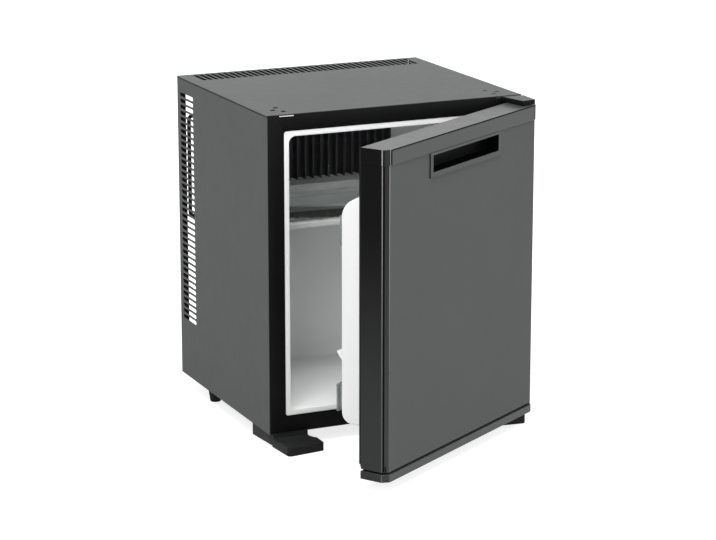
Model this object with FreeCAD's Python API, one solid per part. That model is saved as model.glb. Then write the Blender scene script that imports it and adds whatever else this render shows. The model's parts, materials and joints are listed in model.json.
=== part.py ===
import FreeCAD, Part
import math
import os

# A minibar fridge with a hinged door, in millimetres. The working axes start at the cabinet's front
# left corner on the floor: X runs to the right, Y to the back and Z up. The door is drawn shut and then
# turned about its hinge to the angle at which it stands ajar. Last, everything is shifted so that the
# origin lies on the floor, in the middle of the part's own box.

Vector = FreeCAD.Vector
X_AXIS = Vector(1, 0, 0)
Y_AXIS = Vector(0, 1, 0)
Z_AXIS = Vector(0, 0, 1)

# Cabinet
cabinet_width = 400.0
cabinet_height = 465.0
foot_height = 20.0
sheet = 1.0                    # painted steel sheet of the cabinet and of the door
side_flange = 14.0             # top edge of a side panel, folded in under the lid
side_return = 13.0             # rear edge of a side panel, folded in
seam_bend = 0.9                # outer bend of that top edge, which leaves a seam under the lid
lid_return = 14.0              # rear edge of the lid, folded down
pan_lip = 14.0                 # sides of the base pan, folded up
rear_space = 67.0              # open space behind the insulation, for the cooling unit
cross_rail_height = 25.0
cross_rail_foot = 20.0
seat_gap = 0.2                 # clearance where one still piece is set into another
overrun = 5.0                  # how far a cutting shape passes the surface that it cuts
tolerance = 0.001
quarter_turn = 90.0            # degrees

# Air slots
top_slot_pitch = 9.46
top_slot_width = 6.4
top_slot_length = 48.0
top_slot_back_margin = 7.0
top_slot_side_margin = 24.0
side_slot_pitch = 9.35
side_slot_height = 6.2
side_slot_length = 54.0
side_slot_back_margin = 11.0
side_slot_bottom_margin = 93.0
side_slot_top_margin = 25.0

# Front frame and inner liner
frame_side = 26.0
frame_top = 24.4
frame_bottom = 25.0
frame_plate = 3.0
frame_wall = 2.0
frame_depth = 14.0
frame_corner = 4.0
rim_width = 8.0
rim_recess = 1.0
liner_wall = 2.0
liner_grip = 6.0               # hidden edge of the liner behind the frame
liner_depth = 240.0
back_foam = 42.0               # between the liner and the back plate
liner_corner = 10.0
liner_back_corner = 8.0

# Shelf
shelf_below_top = 147.6        # underside of the glass below the top of the inside
shelf_front = 66.0
shelf_back_gap = 8.0
shelf_side_gap = 1.5
glass_thickness = 4.0
trim_height = 10.0
trim_lead = 4.0                # trim ahead of the glass
trim_grip = 6.0                # trim over and under the glass
trim_drop = 3.0
ledge_width = 6.0
ledge_height = 5.0

# Door
door_open_angle = 32.0
door_gap = 6.5
door_thickness = 41.5
door_below_lid = 8.0
door_below_pan = 5.0
door_corner = 7.4              # flat facet down the door's front corners
door_lip = 8.0
cap_front_overhang = 1.5
cap_end_overhang = 1.0
cap_corner = 8.6
cap_wall = 2.5
top_cap_height = 22.0
bottom_cap_height = 11.0
groove_height = 3.0
groove_depth = 3.0
collar_height = 9.0
collar_wall = 2.0

# Door gasket
gasket_free_inset = 2.4        # from the door's free end
gasket_hinge_inset = 15.0      # from its hinged end, which swings past the frame
gasket_width = 12.0
gasket_air = 0.3               # left between the gasket and the frame when the door is shut
gasket_top_inset = 4.0
gasket_bottom_inset = 16.0

# Handle
handle_width = 174.0
handle_height = 24.0
handle_depth = 20.0
handle_wall = 2.0
bezel_rim = 7.0
bezel_top_rim = 3.5
bezel_raise = 2.2
handle_below_cap = 4.0

# Door liner with its cheeks
door_liner_wall = 2.0
cheek_inset = 48.0             # outer face of a cheek from the end of the door
cheek_width = 18.0
cheek_depth = 64.0
cheek_bottom = 50.5            # above the cabinet's bottom
cheek_below_top = 36.6         # below the top of the inside
cheek_top_drop = 36.0          # fall of the sloping top edge
cheek_top_corner = 16.0
cheek_bottom_corner = 16.0

# Door racks
rack_wall = 2.5
rack_end_inset = 54.0          # end of a rack's front wall from the end of the door
upper_rack_below_top = 131.6   # underside of the rack below the top of the inside
upper_rack_height = 44.0
upper_rack_depth = 70.0
lower_rack_bottom = 64.0       # above the cabinet's bottom
lower_rack_height = 40.0
lower_rack_depth = 76.0
bottle_rail_bottom = 138.5
bottle_rail_height = 13.5
bottle_rail_reach = 11.0
bottle_rail_thickness = 2.5
bottle_rail_pad = 12.0

# Hinges
pivot_inset = 16.0             # hinge axis from the cabinet's right side
pivot_ahead = 30.0             # hinge axis ahead of the cabinet's front
pin_radius = 3.5
pin_play = 0.05
pin_reach = 14.0
bush_radius = 6.5
bush_length = 16.0
boss_wall = 3.0
hinge_plate = 3.0
hinge_slot_inset = 19.0        # end of the hinge slot from the cabinet's side
hinge_slot_width = 22.0
hinge_plate_width = 44.0
hinge_plate_back = 62.0
hinge_plate_start = 16.0
cover_wall = 1.5
cover_skirt = 6.0
cover_back_width = 34.0
cover_front_width = 22.0
cover_front_draw = 1.0         # front corner in from the cabinet's side
cover_inner_reach = 48.0
cover_outer_reach = 44.0
blank_depth = 3.0
blank_proud = 0.4
blank_height = 2.2
hinge_screw_insets = (34.0, 23.0, 34.0)
hinge_screw_backs = (21.0, 34.0, 50.0)
screw_radius = 2.0
screw_play = 0.2
screw_length = 14.0
lid_screw_head_radius = 3.5
lid_screw_head = 0.8
plug_stem_radius = 1.8
plug_stem = 6.0

# Front feet, in places measured from the cabinet's side and from its front
toe_height = 13.5
toe_reach = 48.0
toe_side = 9.0
toe_inner = 66.5
toe_inner_back = 18.0
toe_corner = 6.0
heel_side = 0.5
heel_front_side = 6.0
heel_inner = 60.0
heel_back = 66.0
heel_lift = 2.0
foot_hollow_share = 0.12       # depth of the hollow between heel and toe over its chord
toe_pad_back = 4.0
lower_plate_width = 24.0
lower_plate_inset = 11.0
lower_plate_lead = 42.0
lower_plate_back = 52.0
washer_radius = 8.0
foot_screw_inset = 24.0
foot_screw_backs = (20.0, 42.0)
foot_screw_head_radius = 4.0
foot_screw_head = 3.0
foot_screw_recess = 4.0

# Rear feet
rear_foot_inset = 14.0
rear_foot_ahead = 38.0         # ahead of the back plate
rear_foot_top_radius = 11.0
rear_foot_bottom_radius = 8.0

# Cooling unit in the rear space
unit_ahead = 39.5              # axis of the unit's tubes ahead of the cabinet's back
boiler_right_gap = 34.0
boiler_width = 70.0
boiler_depth = 55.0
boiler_bottom = 40.0
boiler_below_condenser = 110.0
boiler_tube_radius = 11.0
boiler_tube_lift = 15.0
boiler_tube_rise = 70.0        # boiler tube above its casing
heater_radius = 6.0
heater_offset = 21.0
heater_length = 100.0
tube_wall = 1.5
condenser_radius = 7.0
condenser_bend = 25.0
condenser_below_lid = 45.0
condenser_left = 60.0
condenser_drop = 45.0
fin_count = 21
fin_pitch = 8.6
fin_thickness = 0.8
fin_depth = 42.0
fin_height = 40.0
fin_start = 58.0               # first fin from the condenser's left end
evaporator_radius = 6.0
evaporator_bend = 15.0
evaporator_drop = 25.0
evaporator_span = 100.0
evaporator_tail = 70.0
coil_radius = 7.0
coil_over_vessel = 58.0        # between the coil's lowest bend and the vessel's axis
coil_passes = 5
coil_left = 70.0
coil_end_left = 120.0
vessel_radius = 20.0
vessel_left = 34.0
vessel_level = 42.0
vessel_gap = 16.0              # between the vessel and the control box
vent_radius = 3.0
vent_bend = 6.0
vent_left = 21.0
vent_upper_left = 12.2
vent_upper_ahead = 15.0        # upper run ahead of the cabinet's back
vent_turn_below_coil = 29.0
vent_below_condenser = 15.0
bracket_width = 16.0
bracket_thickness = 2.0
bracket_overhang = 8.0         # bracket beyond the axis of the tube that it carries
condenser_bracket = 15.0       # from the end of the condenser's left bend
coil_bracket = 90.0            # from the coil's left end
vessel_bracket = 80.0          # from the vessel's left end

# Evaporator fins and drip tray inside
evaporator_block = 14.0
evaporator_width = 180.0
evaporator_height = 80.0
evaporator_above = 50.0        # block above its tube
evaporator_fin_count = 15
evaporator_fin = 2.0
evaporator_fin_reach = 16.0
tray_side = 10.0               # tray beyond the block on each side
tray_depth = 38.0
tray_height = 12.0
tray_wall = 2.0
tray_below = 6.0

# Control box and mains inlet
box_gap = 10.0
box_width = 70.0
box_depth = 50.0
box_bottom = 25.0
box_height = 60.0
box_wall = 2.5
box_screw_inset = 5.0
box_screw_radius = 1.5
box_screw_length = 10.0
box_screw_head_radius = 2.6
box_screw_head = 1.5
inlet_width = 27.0
inlet_height = 20.0
inlet_depth = 20.0
inlet_flange = 2.0
inlet_flange_rim = 3.0
inlet_wall = 1.6
inlet_bottom = 4.0
inlet_pin_width = 2.0
inlet_pin_height = 3.5
inlet_pin_length = 12.0
inlet_pin_spread = 7.0
inlet_live_drop = 5.0          # lower edge of the outer pins below the middle
inlet_earth_drop = 1.0

# Thermostat and lamp inside, on the right wall
housing_front = 110.0
housing_length = 80.0
housing_below_top = 23.6       # below the top of the inside
housing_height = 54.0
housing_depth = 20.0
housing_wall = 2.0
knob_back = 25.0               # knob axis behind the housing's front
knob_level = 27.0              # knob axis above the housing's bottom
knob_radius = 14.0
knob_thickness = 10.0
knob_gap = 0.8
knob_pointer_width = 3.0
knob_pointer_raise = 1.2
shaft_radius = 3.0
shaft_play = 0.05
shaft_reach = 8.0
thermostat_size = 30.0
thermostat_depth = 15.0
lens_length = 24.0
lens_height = 30.0
lens_inset = 8.0
lens_raise = 1.2

# Places worked out from the sizes above
left = 0.0
right = cabinet_width
front = 0.0
bottom = foot_height
top = foot_height + cabinet_height
lid_bottom = top - sheet
pan_top = bottom + sheet
back_plate_front = front + liner_depth + liner_wall + back_foam
back_plate_rear = back_plate_front + sheet
back = back_plate_rear + rear_space
opening_left = left + frame_side
opening_right = right - frame_side
opening_bottom = bottom + frame_bottom
opening_top = top - frame_top
cavity_left = opening_left + rim_width
cavity_right = opening_right - rim_width
cavity_bottom = opening_bottom + rim_width
cavity_top = opening_top - rim_width
cavity_back = front + liner_depth
glass_bottom = cavity_top - shelf_below_top
glass_top = glass_bottom + glass_thickness

door_back = front - door_gap
door_front = door_back - door_thickness
door_bottom = bottom - door_below_pan
door_top = top - door_below_lid
panel_top = door_top - top_cap_height
bottom_cap_top = door_bottom + bottom_cap_height
panel_bottom = bottom_cap_top + groove_height
cap_front = door_front - cap_front_overhang
handle_top = panel_top - handle_below_cap
handle_bottom = handle_top - handle_height
handle_left = (left + right - handle_width) / 2
handle_right = handle_left + handle_width
pivot_x = right - pivot_inset
pivot_y = front - pivot_ahead
hinge_plate_bottom = lid_bottom - hinge_plate

unit_y = back - unit_ahead
boiler_right = right - boiler_right_gap
boiler_left = boiler_right - boiler_width
boiler_low = bottom + boiler_bottom
boiler_x = (boiler_left + boiler_right) / 2
condenser_z = top - condenser_below_lid
condenser_x = left + condenser_left
boiler_high = condenser_z - boiler_below_condenser
evaporator_z = condenser_z - condenser_drop - evaporator_drop
evaporator_left = (left + right - evaporator_span) / 2
evaporator_right = evaporator_left + evaporator_span
evaporator_y = cavity_back - evaporator_block / 2
coil_top = evaporator_z - evaporator_tail
control_right = boiler_left - box_gap
control_left = control_right - box_width
control_low = bottom + box_bottom
control_high = control_low + box_height
cover_y = back_plate_rear + box_depth
vessel_z = bottom + vessel_level
coil_pitch = (coil_top - vessel_z - coil_over_vessel) / coil_passes
housing_low = cavity_top - housing_below_top - housing_height
knob_y = front + housing_front + knob_back
knob_z = housing_low + knob_level
housing_face = cavity_right - housing_depth
knob_face = housing_face - knob_gap


def box(x0, x1, y0, y1, z0, z1):
    """Block between two corners."""
    return Part.makeBox(x1 - x0, y1 - y0, z1 - z0, Vector(x0, y0, z0))


def upright(x, y, z0, z1, radius):
    """Standing cylinder."""
    return Part.makeCylinder(radius, z1 - z0, Vector(x, y, z0), Z_AXIS)


def fuse(*shapes):
    """One solid out of several that touch or overlap."""
    return shapes[0].multiFuse(list(shapes[1:])).removeSplitter()


def group(*shapes):
    """Separate solids kept together as one piece of the list."""
    return Part.makeCompound(list(shapes))


def mirrored(shape):
    """The same piece on the cabinet's other side."""
    return shape.mirror(Vector((left + right) / 2, 0, 0), X_AXIS)


def edges_along(shape, direction, wanted=None):
    """Straight edges that run along a direction and whose middle is wanted."""
    found = []
    for edge in shape.Edges:
        if not isinstance(edge.Curve, Part.Line):
            continue
        along = abs(edge.Curve.Direction.dot(direction))
        if along > 1 - tolerance and (wanted is None or wanted(edge.CenterOfMass)):
            found.append(edge)
    return found


def block_rounded_along_y(x0, x1, y0, y1, z0, z1, radius):
    """Block whose four edges that run from front to back are rounded."""
    block = box(x0, x1, y0, y1, z0, z1)
    return block.makeFillet(radius, edges_along(block, Y_AXIS))


def block_faceted_in_front(x0, x1, y0, y1, z0, z1, leg):
    """Block whose two upright edges at the front are cut off flat."""
    block = box(x0, x1, y0, y1, z0, z1)
    middle = (y0 + y1) / 2
    return block.makeChamfer(leg, edges_along(block, Z_AXIS, lambda place: place.y < middle))


def prism(points, sweep):
    """Straight-sided outline swept along a vector."""
    return Part.Face(Part.makePolygon(points + points[:1])).extrude(sweep)


def slot_cutter(length, width, depth):
    """Slot with round ends, along Y, cut downwards from zero."""
    radius = width / 2
    end = length / 2 - radius
    tip = length / 2
    corners = [
        Vector(-radius, -end, 0),
        Vector(radius, -end, 0),
        Vector(radius, end, 0),
        Vector(-radius, end, 0),
    ]
    edges = [
        Part.Arc(corners[0], Vector(0, -tip, 0), corners[1]).toShape(),
        Part.LineSegment(corners[1], corners[2]).toShape(),
        Part.Arc(corners[2], Vector(0, tip, 0), corners[3]).toShape(),
        Part.LineSegment(corners[3], corners[0]).toShape(),
    ]
    return Part.Face(Part.Wire(edges)).extrude(Z_AXIS * -depth)


def bent_path(points, bend):
    """Straight runs joined by tangent arcs."""
    edges = []
    start = points[0]
    for before, corner, after in zip(points, points[1:], points[2:]):
        way_in = (corner - before).normalize()
        way_out = (after - corner).normalize()
        half_turn = way_in.getAngle(way_out) / 2
        setback = bend * math.tan(half_turn)
        arc_start = corner - way_in * setback
        arc_end = corner + way_out * setback
        inward = (way_out - way_in).normalize()
        arc_middle = corner + inward * (bend / math.cos(half_turn) - bend)
        if (arc_start - start).Length > tolerance:
            edges.append(Part.LineSegment(start, arc_start).toShape())
        edges.append(Part.Arc(arc_start, arc_middle, arc_end).toShape())
        start = arc_end
    if (points[-1] - start).Length > tolerance:
        edges.append(Part.LineSegment(start, points[-1]).toShape())
    return Part.Wire(edges)


def bent_rod(points, bend, radius):
    """Round rod along straight runs and arcs."""
    circle = Part.Circle(points[0], points[1] - points[0], radius)
    return bent_path(points, bend).makePipeShell([Part.Wire(circle.toShape())], True, True)


def bent_tube(points, bend, radius):
    """Round tube along straight runs and arcs."""
    return bent_rod(points, bend, radius).cut(bent_rod(points, bend, radius - tube_wall))


# Cabinet sheets

def hinge_screw_places():
    """Lid screws of the upper hinge, on the right."""
    return [(right - inset, front + depth) for inset, depth in zip(hinge_screw_insets, hinge_screw_backs)]


def make_top_panel():
    lid = box(left, right, front, back, lid_bottom, top)
    inset = side_return + sheet
    lip = box(left + inset, right - inset, back - sheet, back, top - lid_return, lid_bottom)
    cuts = []
    for x, y in hinge_screw_places():
        hole = upright(x, y, lid_bottom - overrun, top + overrun, screw_radius + screw_play)
        cuts += [hole, mirrored(hole)]
    room = cabinet_width - 2 * top_slot_side_margin
    count = int(room // top_slot_pitch) + 1
    slot = slot_cutter(top_slot_length, top_slot_width, sheet + 2 * overrun)
    first = (left + right - (count - 1) * top_slot_pitch) / 2
    y = back - top_slot_back_margin - top_slot_length / 2
    for number in range(count):
        cuts.append(slot.translated(Vector(first + number * top_slot_pitch, y, top + overrun)))
    return fuse(lid, lip).cut(cuts)


def make_left_side_panel():
    wall = box(left, left + sheet, front, back, bottom, lid_bottom)
    flange = box(left, left + side_flange, front + frame_depth, back, lid_bottom - sheet, lid_bottom)
    rear = box(left, left + side_return, back - sheet, back, bottom, lid_bottom)
    panel = fuse(wall, flange, rear)
    seam = edges_along(panel, Y_AXIS,
                       lambda place: place.x < left + tolerance and place.z > lid_bottom - tolerance)
    panel = panel.makeFillet(seam_bend, seam)
    room = cabinet_height - side_slot_bottom_margin - side_slot_top_margin
    count = int(room // side_slot_pitch) + 1
    slot = slot_cutter(side_slot_length, side_slot_height, sheet + 2 * overrun)
    slot.rotate(Vector(), Y_AXIS, quarter_turn)
    y = back - side_slot_back_margin - side_slot_length / 2
    first = bottom + side_slot_bottom_margin
    cuts = [slot.translated(Vector(left + sheet + overrun, y, first + number * side_slot_pitch))
            for number in range(count)]
    return panel.cut(cuts)


def foot_screw_places():
    """Screws of the left front foot."""
    return [(left + foot_screw_inset, front + depth) for depth in foot_screw_backs]


def rear_foot_places():
    y = back_plate_rear - rear_foot_ahead
    return [(left + rear_foot_inset, y), (right - rear_foot_inset, y)]


def make_base_pan():
    floor = box(left + sheet, right - sheet, front, back_plate_rear, bottom, pan_top)
    lip = box(left + sheet, left + 2 * sheet, front + frame_depth, back_plate_front,
              pan_top, pan_top + pan_lip)
    holes = []
    for x, y in foot_screw_places() + rear_foot_places()[:1]:
        hole = upright(x, y, bottom - overrun, pan_top + overrun, screw_radius)
        holes += [hole, mirrored(hole)]
    return fuse(floor, lip, mirrored(lip)).cut(holes)


def make_back_plate():
    plate = box(left + sheet, right - sheet, back_plate_front, back_plate_rear, pan_top, lid_bottom - sheet)
    return plate.cut(evaporator_passage())


def make_rear_cross_rail():
    near = back - sheet - cross_rail_foot
    foot = box(left + sheet, right - sheet, near, back - sheet, bottom, pan_top)
    wall = box(left + sheet, right - sheet, back - 2 * sheet, back - sheet,
               bottom, bottom + cross_rail_height)
    return fuse(foot, wall)


# Front frame, liner and foam

def make_front_frame():
    outer = (left + sheet, right - sheet)
    heights = (pan_top, lid_bottom)
    plate = box(*outer, front, front + frame_plate, *heights)
    opening = block_rounded_along_y(opening_left, opening_right, front - overrun, front + frame_depth,
                                    opening_bottom, opening_top, frame_corner)
    ring = box(*outer, front + frame_plate, front + frame_depth, *heights)
    hollow = box(outer[0] + frame_wall, outer[1] - frame_wall, front + frame_plate, front + frame_depth,
                 heights[0] + frame_wall, heights[1] - frame_wall)
    slot_left = left + hinge_slot_inset
    slot = box(slot_left, slot_left + hinge_slot_width, front - overrun, front + frame_depth + overrun,
               hinge_plate_bottom - seat_gap, top)
    return fuse(plate.cut(opening), ring.cut(hollow)).cut([slot, mirrored(slot)])


def liner_block(grow):
    """Room inside the liner, grown by a wall on the sides, the bottom, the top and the back."""
    block = block_rounded_along_y(cavity_left - grow, cavity_right + grow,
                                  front - overrun, cavity_back + grow,
                                  cavity_bottom - grow, cavity_top + grow, liner_corner + grow)
    rear = [edge for edge in block.Edges if edge.CenterOfMass.y > cavity_back + grow - tolerance]
    return block.makeFillet(liner_back_corner + grow, rear)


def liner_envelope():
    """Outside of the liner with its rim and the edge that is held behind the frame."""
    rim_front = front + rim_recess
    grip_front = front + frame_plate
    grip_back = grip_front + liner_wall
    rim = block_rounded_along_y(opening_left, opening_right, rim_front, grip_back,
                                opening_bottom, opening_top, frame_corner)
    grip = box(opening_left - liner_grip, opening_right + liner_grip, grip_front, grip_back,
               opening_bottom - liner_grip, opening_top + liner_grip)
    ahead = box(left - overrun, right + overrun, front - 2 * overrun, grip_front, bottom, top)
    return fuse(liner_block(liner_wall).cut(ahead), rim, grip)


def shelf_ledge():
    ledge_front = front + shelf_front + trim_grip + seat_gap
    return box(cavity_left - liner_wall / 2, cavity_left + ledge_width,
               ledge_front, cavity_back - shelf_back_gap, glass_bottom - ledge_height, glass_bottom)


def make_inner_liner():
    shell = liner_envelope().cut(liner_block(0))
    return fuse(shell, shelf_ledge(), mirrored(shelf_ledge())).cut(evaporator_passage())


def make_cabinet_foam(embedded):
    block = box(left + sheet, right - sheet, front + frame_plate, back_plate_front, pan_top, lid_bottom)
    ahead = box(opening_left, opening_right, front, front + frame_plate + liner_wall,
                opening_bottom, opening_top)
    return block.cut([liner_envelope().fuse(liner_block(0)), ahead] + embedded)


# Shelf

def make_glass_shelf():
    return box(cavity_left + shelf_side_gap, cavity_right - shelf_side_gap, front + shelf_front,
               cavity_back - shelf_back_gap, glass_bottom, glass_top)


def make_shelf_front_trim():
    low = glass_bottom - trim_drop
    bar = box(cavity_left + shelf_side_gap, cavity_right - shelf_side_gap, front + shelf_front - trim_lead,
              front + shelf_front + trim_grip, low, low + trim_height)
    return bar.cut(make_glass_shelf())


# Evaporator and drip tray

def evaporator_points():
    return [
        Vector(condenser_x, unit_y, condenser_z - condenser_drop),
        Vector(condenser_x, unit_y, evaporator_z),
        Vector(evaporator_left, unit_y, evaporator_z),
        Vector(evaporator_left, evaporator_y, evaporator_z),
        Vector(evaporator_right, evaporator_y, evaporator_z),
        Vector(evaporator_right, unit_y, evaporator_z),
        Vector(evaporator_right, unit_y, coil_top),
    ]


def evaporator_passage():
    """Room that the evaporator tube takes where it goes through the back."""
    return bent_rod(evaporator_points(), evaporator_bend, evaporator_radius)


def make_evaporator_tube():
    return bent_tube(evaporator_points(), evaporator_bend, evaporator_radius)


def make_evaporator_fins():
    middle = (left + right) / 2
    x0 = middle - evaporator_width / 2
    x1 = middle + evaporator_width / 2
    z1 = evaporator_z + evaporator_above
    z0 = z1 - evaporator_height
    block_front = cavity_back - evaporator_block
    block = box(x0, x1, block_front, cavity_back, z0, z1)
    pitch = (evaporator_width - evaporator_fin) / (evaporator_fin_count - 1)
    fins = []
    for number in range(evaporator_fin_count):
        x = x0 + number * pitch
        fins.append(box(x, x + evaporator_fin, block_front - evaporator_fin_reach, block_front, z0, z1))
    return fuse(block, *fins).cut(evaporator_passage())


def make_drip_tray():
    middle = (left + right) / 2
    half = evaporator_width / 2 + tray_side
    z1 = evaporator_z + evaporator_above - evaporator_height - tray_below
    z0 = z1 - tray_height
    y0 = cavity_back - tray_depth
    tray = box(middle - half, middle + half, y0, cavity_back, z0, z1)
    inner = half - tray_wall
    hollow = box(middle - inner, middle + inner, y0 + tray_wall, cavity_back - tray_wall,
                 z0 + tray_wall, z1 + overrun)
    return tray.cut(hollow)


# Thermostat and lamp

def lens_window():
    """Window of the lamp in the housing's face."""
    end = front + housing_front + housing_length - lens_inset
    low = housing_low + (housing_height - lens_height) / 2
    return end - lens_length, end, low, low + lens_height


def make_thermostat_housing():
    y0 = front + housing_front
    y1 = y0 + housing_length
    z0 = housing_low
    z1 = z0 + housing_height
    shell = box(housing_face, cavity_right, y0, y1, z0, z1)
    hollow = box(housing_face + housing_wall, cavity_right + overrun, y0 + housing_wall, y1 - housing_wall,
                 z0 + housing_wall, z1 - housing_wall)
    window = box(housing_face - overrun, housing_face + housing_wall, *lens_window())
    hole_start = Vector(housing_face - overrun, knob_y, knob_z)
    hole = Part.makeCylinder(shaft_radius + knob_gap, housing_depth, hole_start, X_AXIS)
    return shell.cut([hollow, window, hole])


def make_thermostat_body():
    half = thermostat_size / 2
    face = cavity_right - thermostat_depth
    body = box(face, cavity_right, knob_y - half, knob_y + half, knob_z - half, knob_z + half)
    bore_depth = overrun + shaft_reach + knob_gap
    bore_start = Vector(face - overrun, knob_y, knob_z)
    bore = Part.makeCylinder(shaft_radius + shaft_play, bore_depth, bore_start, X_AXIS)
    return body.cut(bore)


def make_thermostat_knob():
    outside = knob_face - knob_thickness
    cap = Part.makeCylinder(knob_radius, knob_thickness, Vector(outside, knob_y, knob_z), X_AXIS)
    tip = cavity_right - thermostat_depth + shaft_reach
    shaft = Part.makeCylinder(shaft_radius, tip - knob_face, Vector(knob_face, knob_y, knob_z), X_AXIS)
    pointer = box(outside - knob_pointer_raise, outside, knob_y - knob_pointer_width / 2,
                  knob_y + knob_pointer_width / 2, knob_z, knob_z + knob_radius - knob_pointer_width)
    return fuse(cap, shaft, pointer)


def make_lamp_lens():
    return box(housing_face - lens_raise, housing_face + housing_wall, *lens_window())


# Cooling unit

def make_boiler_casing():
    casing = box(boiler_left, boiler_right, back_plate_rear, back_plate_rear + boiler_depth,
                 boiler_low, boiler_high)
    hollow = box(boiler_left + sheet, boiler_right - sheet, back_plate_rear + sheet,
                 back_plate_rear + boiler_depth - sheet, boiler_low + sheet, boiler_high - sheet)
    tube = upright(boiler_x, unit_y, boiler_high - overrun, boiler_high + overrun, boiler_tube_radius)
    return casing.cut([hollow, tube])


def make_boiler_tube():
    low = boiler_low + boiler_tube_lift
    high = boiler_high + boiler_tube_rise
    tube = upright(boiler_x, unit_y, low, high, boiler_tube_radius)
    bore = upright(boiler_x, unit_y, low + tube_wall, high - tube_wall, boiler_tube_radius - tube_wall)
    outlet = upright(boiler_x, unit_y, high - overrun, high + overrun, condenser_radius - tube_wall)
    return tube.cut([bore, outlet])


def make_heater_cartridge():
    low = boiler_low + boiler_tube_lift
    return upright(boiler_x + heater_offset, unit_y, low, low + heater_length, heater_radius)


def make_boiler_insulation():
    block = box(boiler_left + sheet, boiler_right - sheet, back_plate_rear + sheet,
                back_plate_rear + boiler_depth - sheet, boiler_low + sheet, boiler_high - sheet)
    low = boiler_low + boiler_tube_lift
    tube = upright(boiler_x, unit_y, low, boiler_high + overrun, boiler_tube_radius)
    return block.cut([tube, make_heater_cartridge()])


def condenser_points():
    return [
        Vector(boiler_x, unit_y, boiler_high + boiler_tube_rise),
        Vector(boiler_x, unit_y, condenser_z),
        Vector(condenser_x, unit_y, condenser_z),
        Vector(condenser_x, unit_y, condenser_z - condenser_drop),
    ]


def make_condenser_tube():
    return bent_tube(condenser_points(), condenser_bend, condenser_radius)


def make_condenser_fins():
    fins = []
    for number in range(fin_count):
        x = condenser_x + fin_start + number * fin_pitch
        if x + fin_thickness > boiler_x - condenser_bend:
            break
        plate = box(x, x + fin_thickness, unit_y - fin_depth / 2, unit_y + fin_depth / 2,
                    condenser_z - fin_height / 2, condenser_z + fin_height / 2)
        hole = Part.makeCylinder(condenser_radius, fin_thickness + 2 * overrun,
                                 Vector(x - overrun, unit_y, condenser_z), X_AXIS)
        fins.append(plate.cut(hole))
    return group(*fins)


def vessel_span():
    return left + vessel_left, control_left - vessel_gap


def vessel_solid(radius, end_wall):
    x0, x1 = vessel_span()
    start = Vector(x0 + end_wall, unit_y, vessel_z)
    return Part.makeCylinder(radius, x1 - x0 - 2 * end_wall, start, X_AXIS)


def make_absorber_vessel():
    return vessel_solid(vessel_radius, 0).cut(vessel_solid(vessel_radius - tube_wall, tube_wall))


def make_absorber_coil():
    right_end = evaporator_right
    left_end = left + coil_left
    z = coil_top - coil_pitch / 2
    points = [Vector(right_end, unit_y, coil_top)]
    x = right_end
    for number in range(coil_passes):
        points.append(Vector(x, unit_y, z))
        x = left_end if x == right_end else right_end
        if number == coil_passes - 1:
            x = left + coil_end_left
        points.append(Vector(x, unit_y, z))
        z -= coil_pitch
    points.append(Vector(x, unit_y, vessel_z))
    return bent_tube(points, coil_pitch / 2, coil_radius).cut(vessel_solid(vessel_radius, 0))


def make_vent_pipe():
    low_x = left + vent_left
    high_x = left + vent_upper_left
    high_y = back - vent_upper_ahead
    turn_z = coil_top - vent_turn_below_coil
    end_z = condenser_z - vent_below_condenser
    points = [
        Vector(vessel_span()[0], unit_y, vessel_z),
        Vector(low_x, unit_y, vessel_z),
        Vector(low_x, unit_y, turn_z),
        Vector(high_x, high_y, turn_z),
        Vector(high_x, high_y, end_z),
        Vector(condenser_x, unit_y, end_z),
    ]
    solid_condenser = bent_rod(condenser_points(), condenser_bend, condenser_radius)
    return bent_rod(points, vent_bend, vent_radius).cut(solid_condenser)


def make_unit_brackets():
    first_pass = coil_top - coil_pitch / 2
    last_pass = first_pass - (coil_passes - 1) * coil_pitch
    coil_x = left + coil_left + coil_bracket
    places = [
        (condenser_x + condenser_bracket + condenser_bend, condenser_z - condenser_radius),
        (coil_x, first_pass - coil_radius),
        (coil_x, last_pass - coil_radius),
        (left + vessel_left + vessel_bracket, vessel_z - vessel_radius),
    ]
    half = bracket_width / 2
    return group(*[box(x - half, x + half, back_plate_rear, unit_y + bracket_overhang, z - bracket_thickness, z)
                   for x, z in places])


# Control box

def box_screw_places():
    xs = (control_left + box_screw_inset, control_right - box_screw_inset)
    zs = (control_low + box_screw_inset, control_high - box_screw_inset)
    return [(x, z) for x in xs for z in zs]


def make_control_box():
    shell = box(control_left, control_right, back_plate_rear, cover_y, control_low, control_high)
    hollow = box(control_left + box_wall, control_right - box_wall,
                 back_plate_rear + box_wall, cover_y + overrun,
                 control_low + box_wall, control_high - box_wall)
    posts = []
    holes = []
    for x, z in box_screw_places():
        post_start = Vector(x, back_plate_rear + box_wall, z)
        post = Part.makeCylinder(box_screw_inset, box_depth - box_wall, post_start, Y_AXIS)
        posts.append(post.common(shell))
        hole_start = Vector(x, cover_y + box_wall - box_screw_length, z)
        holes.append(Part.makeCylinder(box_screw_radius, box_screw_length + overrun, hole_start, Y_AXIS))
    return fuse(shell.cut(hollow), *posts).cut(holes)


def inlet_frame(grow, y0, y1):
    """Outline of the mains inlet, grown all round."""
    middle = (control_left + control_right) / 2
    low = control_low + (box_height - inlet_height) / 2
    return box(middle - inlet_width / 2 - grow, middle + inlet_width / 2 + grow, y0, y1, low - grow,
               low + inlet_height + grow)


def make_control_box_cover():
    plate = box(control_left, control_right, cover_y, cover_y + box_wall, control_low, control_high)
    cuts = [inlet_frame(0, cover_y - overrun, cover_y + box_wall + overrun)]
    for x, z in box_screw_places():
        start = Vector(x, cover_y - overrun, z)
        cuts.append(Part.makeCylinder(box_screw_radius, box_wall + 2 * overrun, start, Y_AXIS))
    return plate.cut(cuts)


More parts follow.
